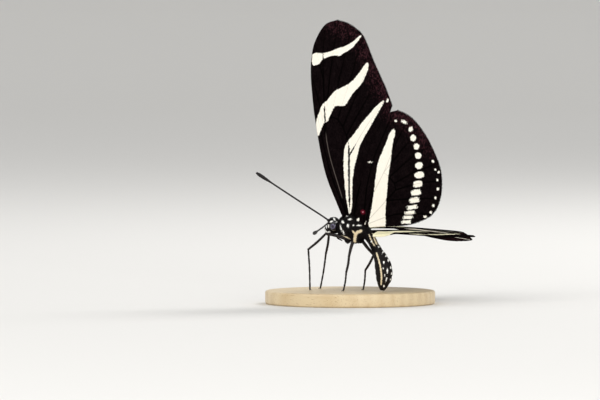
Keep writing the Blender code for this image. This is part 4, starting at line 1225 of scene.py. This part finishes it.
def add_legs(material):
    """Four walking legs, the folded forelegs, and the hairs of all of them in one piece."""
    rng = np.random.default_rng(11)
    hairs = []
    for leg, joints in LEGS.items():
        nodes = [f"{leg}_{part}" for part in ("femur", "tibia", "tarsus")]
        mesh, found = leg_meshes(leg, joints, rng)
        hairs += found
        finish(leg, mesh, material, replaces=nodes)
    for side, name in ((-1, "foreleg_left"), (1, "foreleg_right")):
        line = spline([(x, side * y, z) for x, y, z in FORELEG], 10)
        mesh = tube_mesh(name, line, FORELEG_RADII, sides=10, rings=30)
        hairs.append(limb_hairs(name, mesh, line, FORELEG_HAIRS, LEG_HAIR_WIDTH, rng, {}))
        finish(name + "_limb", mesh, material, replaces=[name])
    finish("leg_hairs", joined("leg_hairs", hairs), material)


def add_mouthparts(material, tongue_material):
    """Two hairy palps and the coiled tongue between them."""
    rng = np.random.default_rng(5)
    hairs = []
    for side, name in ((-1, "palp_left"), (1, "palp_right")):
        line = spline([(x, side * y, z) for x, y, z in PALP], 10)
        mesh = tube_mesh(name, line, PALP_RADII, sides=14, rings=40)
        co = places(mesh)
        # A white stripe runs down the outer side of each palp
        stripe = line + np.array(PALP_STRIPE) * (1, side, 1)
        spot = distance_to_line(co, stripe) - PALP_STRIPE_HALF_WIDTH
        values = {"spot": spot, "streak": np.full(len(co), FAR)}
        for key, value in values.items():
            add_attribute(mesh, key, value)
        hairs.append(limb_hairs(name, mesh, line, PALP_HAIRS, PALP_HAIR_WIDTH, rng, values))
        finish(name + "_skin", mesh, material, replaces=[name])
    finish("palp_hairs", joined("palp_hairs", hairs), material)
    u = np.linspace(0, 1, 120)
    angle = TONGUE_COIL_START + u * TONGUE_COIL_TURN
    radius = TONGUE_COIL_RADIUS * (1 - TONGUE_NARROWING * u)
    x, z = TONGUE_COIL
    coil = np.column_stack([x + radius * np.cos(angle), 0 * u, z + radius * np.sin(angle)])
    line = np.vstack([np.array(TONGUE_ROOT), coil])
    mesh = tube_mesh("proboscis_coil", line, TONGUE_RADII, sides=8, rings=150)
    finish("proboscis_coil", mesh, tongue_material, replaces=["proboscis"])


def add_base(material):
    """The round plate, turned with softened edges."""
    radius = (BASE_HIGH.x - BASE_LOW.x) / 2
    thick = BASE_HIGH.z - BASE_LOW.z
    bm = bmesh.new()
    centre = Vector((0, 0, thick / 2)) - CENTRE
    bmesh.ops.create_cone(bm, cap_ends=True, segments=160, radius1=radius, radius2=radius, depth=thick,
                          matrix=Matrix.Translation(centre))
    rims = [e for e in bm.edges if len(e.link_faces) == 2 and max(len(f.verts) for f in e.link_faces) > 4]
    bmesh.ops.bevel(bm, geom=rims, offset=BASE_EDGE, segments=5, profile=0.5, affect="EDGES", material=-1)
    piece = finish("base_plate", mesh_of("base_plate", bm), material, replaces=["stand_base"])
    piece.data.set_sharp_from_angle(angle=radians(40))


# Stage and camera


def add_stage():
    """Pale floor that curves up into a plain round wall, and soft light from the camera's side."""
    bm = bmesh.new()
    line = [bm.verts.new((x, 0, z)) for x, z in PAPER_BOWL]
    edges = [bm.edges.new(pair) for pair in zip(line, line[1:])]
    bmesh.ops.spin(bm, geom=line + edges, cent=(0, 0, 0), axis=(0, 0, 1), angle=2 * pi, steps=96,
                   use_merge=True)
    bmesh.ops.remove_doubles(bm, verts=bm.verts[:], dist=1e-4)
    bmesh.ops.recalc_face_normals(bm, faces=bm.faces[:])
    mesh = mesh_of("floor", bm)
    mesh.shade_smooth()
    paper, _, _ = new_material("pale_paper", Roughness=0.9, Base_Color=linear("#e4e2de"))
    mesh.materials.append(paper)
    floor = bpy.data.objects.new("floor", mesh)
    bpy.context.scene.collection.objects.link(floor)
    world = bpy.data.worlds.new("studio")
    world.use_nodes = True
    sky = world.node_tree.nodes["Background"]
    sky.inputs["Color"].default_value = linear("#f4f5f6")
    sky.inputs["Strength"].default_value = SKY_STRENGTH
    bpy.context.scene.world = world
    bpy.context.scene.view_settings.view_transform = "Standard"
    right, ahead, _ = view_axes()
    target = Vector(to_frame(np.zeros((1, 3)))[0])
    for name, (across, height, back, size, power) in LAMPS.items():
        light = bpy.data.lights.new(name, "AREA")
        light.shape = "DISK"
        light.size = size
        light.energy = power
        lamp = bpy.data.objects.new(name, light)
        place = target + right * across + Vector((0, 0, height)) - ahead * back
        lamp.location = place
        lamp.rotation_euler = (target - place).to_track_quat("-Z", "Y").to_euler()
        bpy.context.scene.collection.objects.link(lamp)


def add_camera():
    """A long lens, so that sizes in the picture hold over the depth of the wings."""
    right, ahead, up = view_axes()
    width = IMAGE_WIDTH * MM_PER_PIXEL * METRE
    distance = width * LENS / SENSOR
    thorax = Vector(to_frame(np.zeros((1, 3)))[0])
    middle = thorax + right * ((IMAGE_WIDTH / 2 - THORAX_PIXEL[0]) * MM_PER_PIXEL * METRE)
    middle += up * ((THORAX_PIXEL[1] - IMAGE_HEIGHT / 2) * MM_PER_PIXEL * METRE)
    lens = bpy.data.cameras.new("camera")
    lens.lens = LENS
    lens.sensor_width = SENSOR
    lens.clip_start = 0.01
    camera = bpy.data.objects.new("camera", lens)
    camera.location = middle - ahead * distance
    camera.rotation_euler = ahead.to_track_quat("-Z", "Y").to_euler()
    bpy.context.scene.collection.objects.link(camera)
    bpy.context.scene.camera = camera


def main():
    add_stage()
    add_camera()
    scales = wing_scale_material()
    body = body_scale_material()
    limb = cuticle_material("black_leg_cuticle", "#0b0808", "#241b18", 0.45, 0.4)
    feeler = cuticle_material("black_feeler_cuticle", "#0a0808", "#1f1817", 0.5, 0.5)
    tongue = cuticle_material("brown_tongue_cuticle", "#1d120d", "#3a241a", 0.4, 0.3)
    for kind, is_hind in (("forewing", False), ("hindwing", True)):
        for side, place in (("left", left_place), ("right", right_place)):
            wing(f"{kind}_{side}", place, is_hind, scales)
    add_body(body)
    add_eyes(eye_material())
    add_antennae(feeler)
    add_legs(limb)
    add_mouthparts(body, tongue)
    add_base(maple_material())


main()
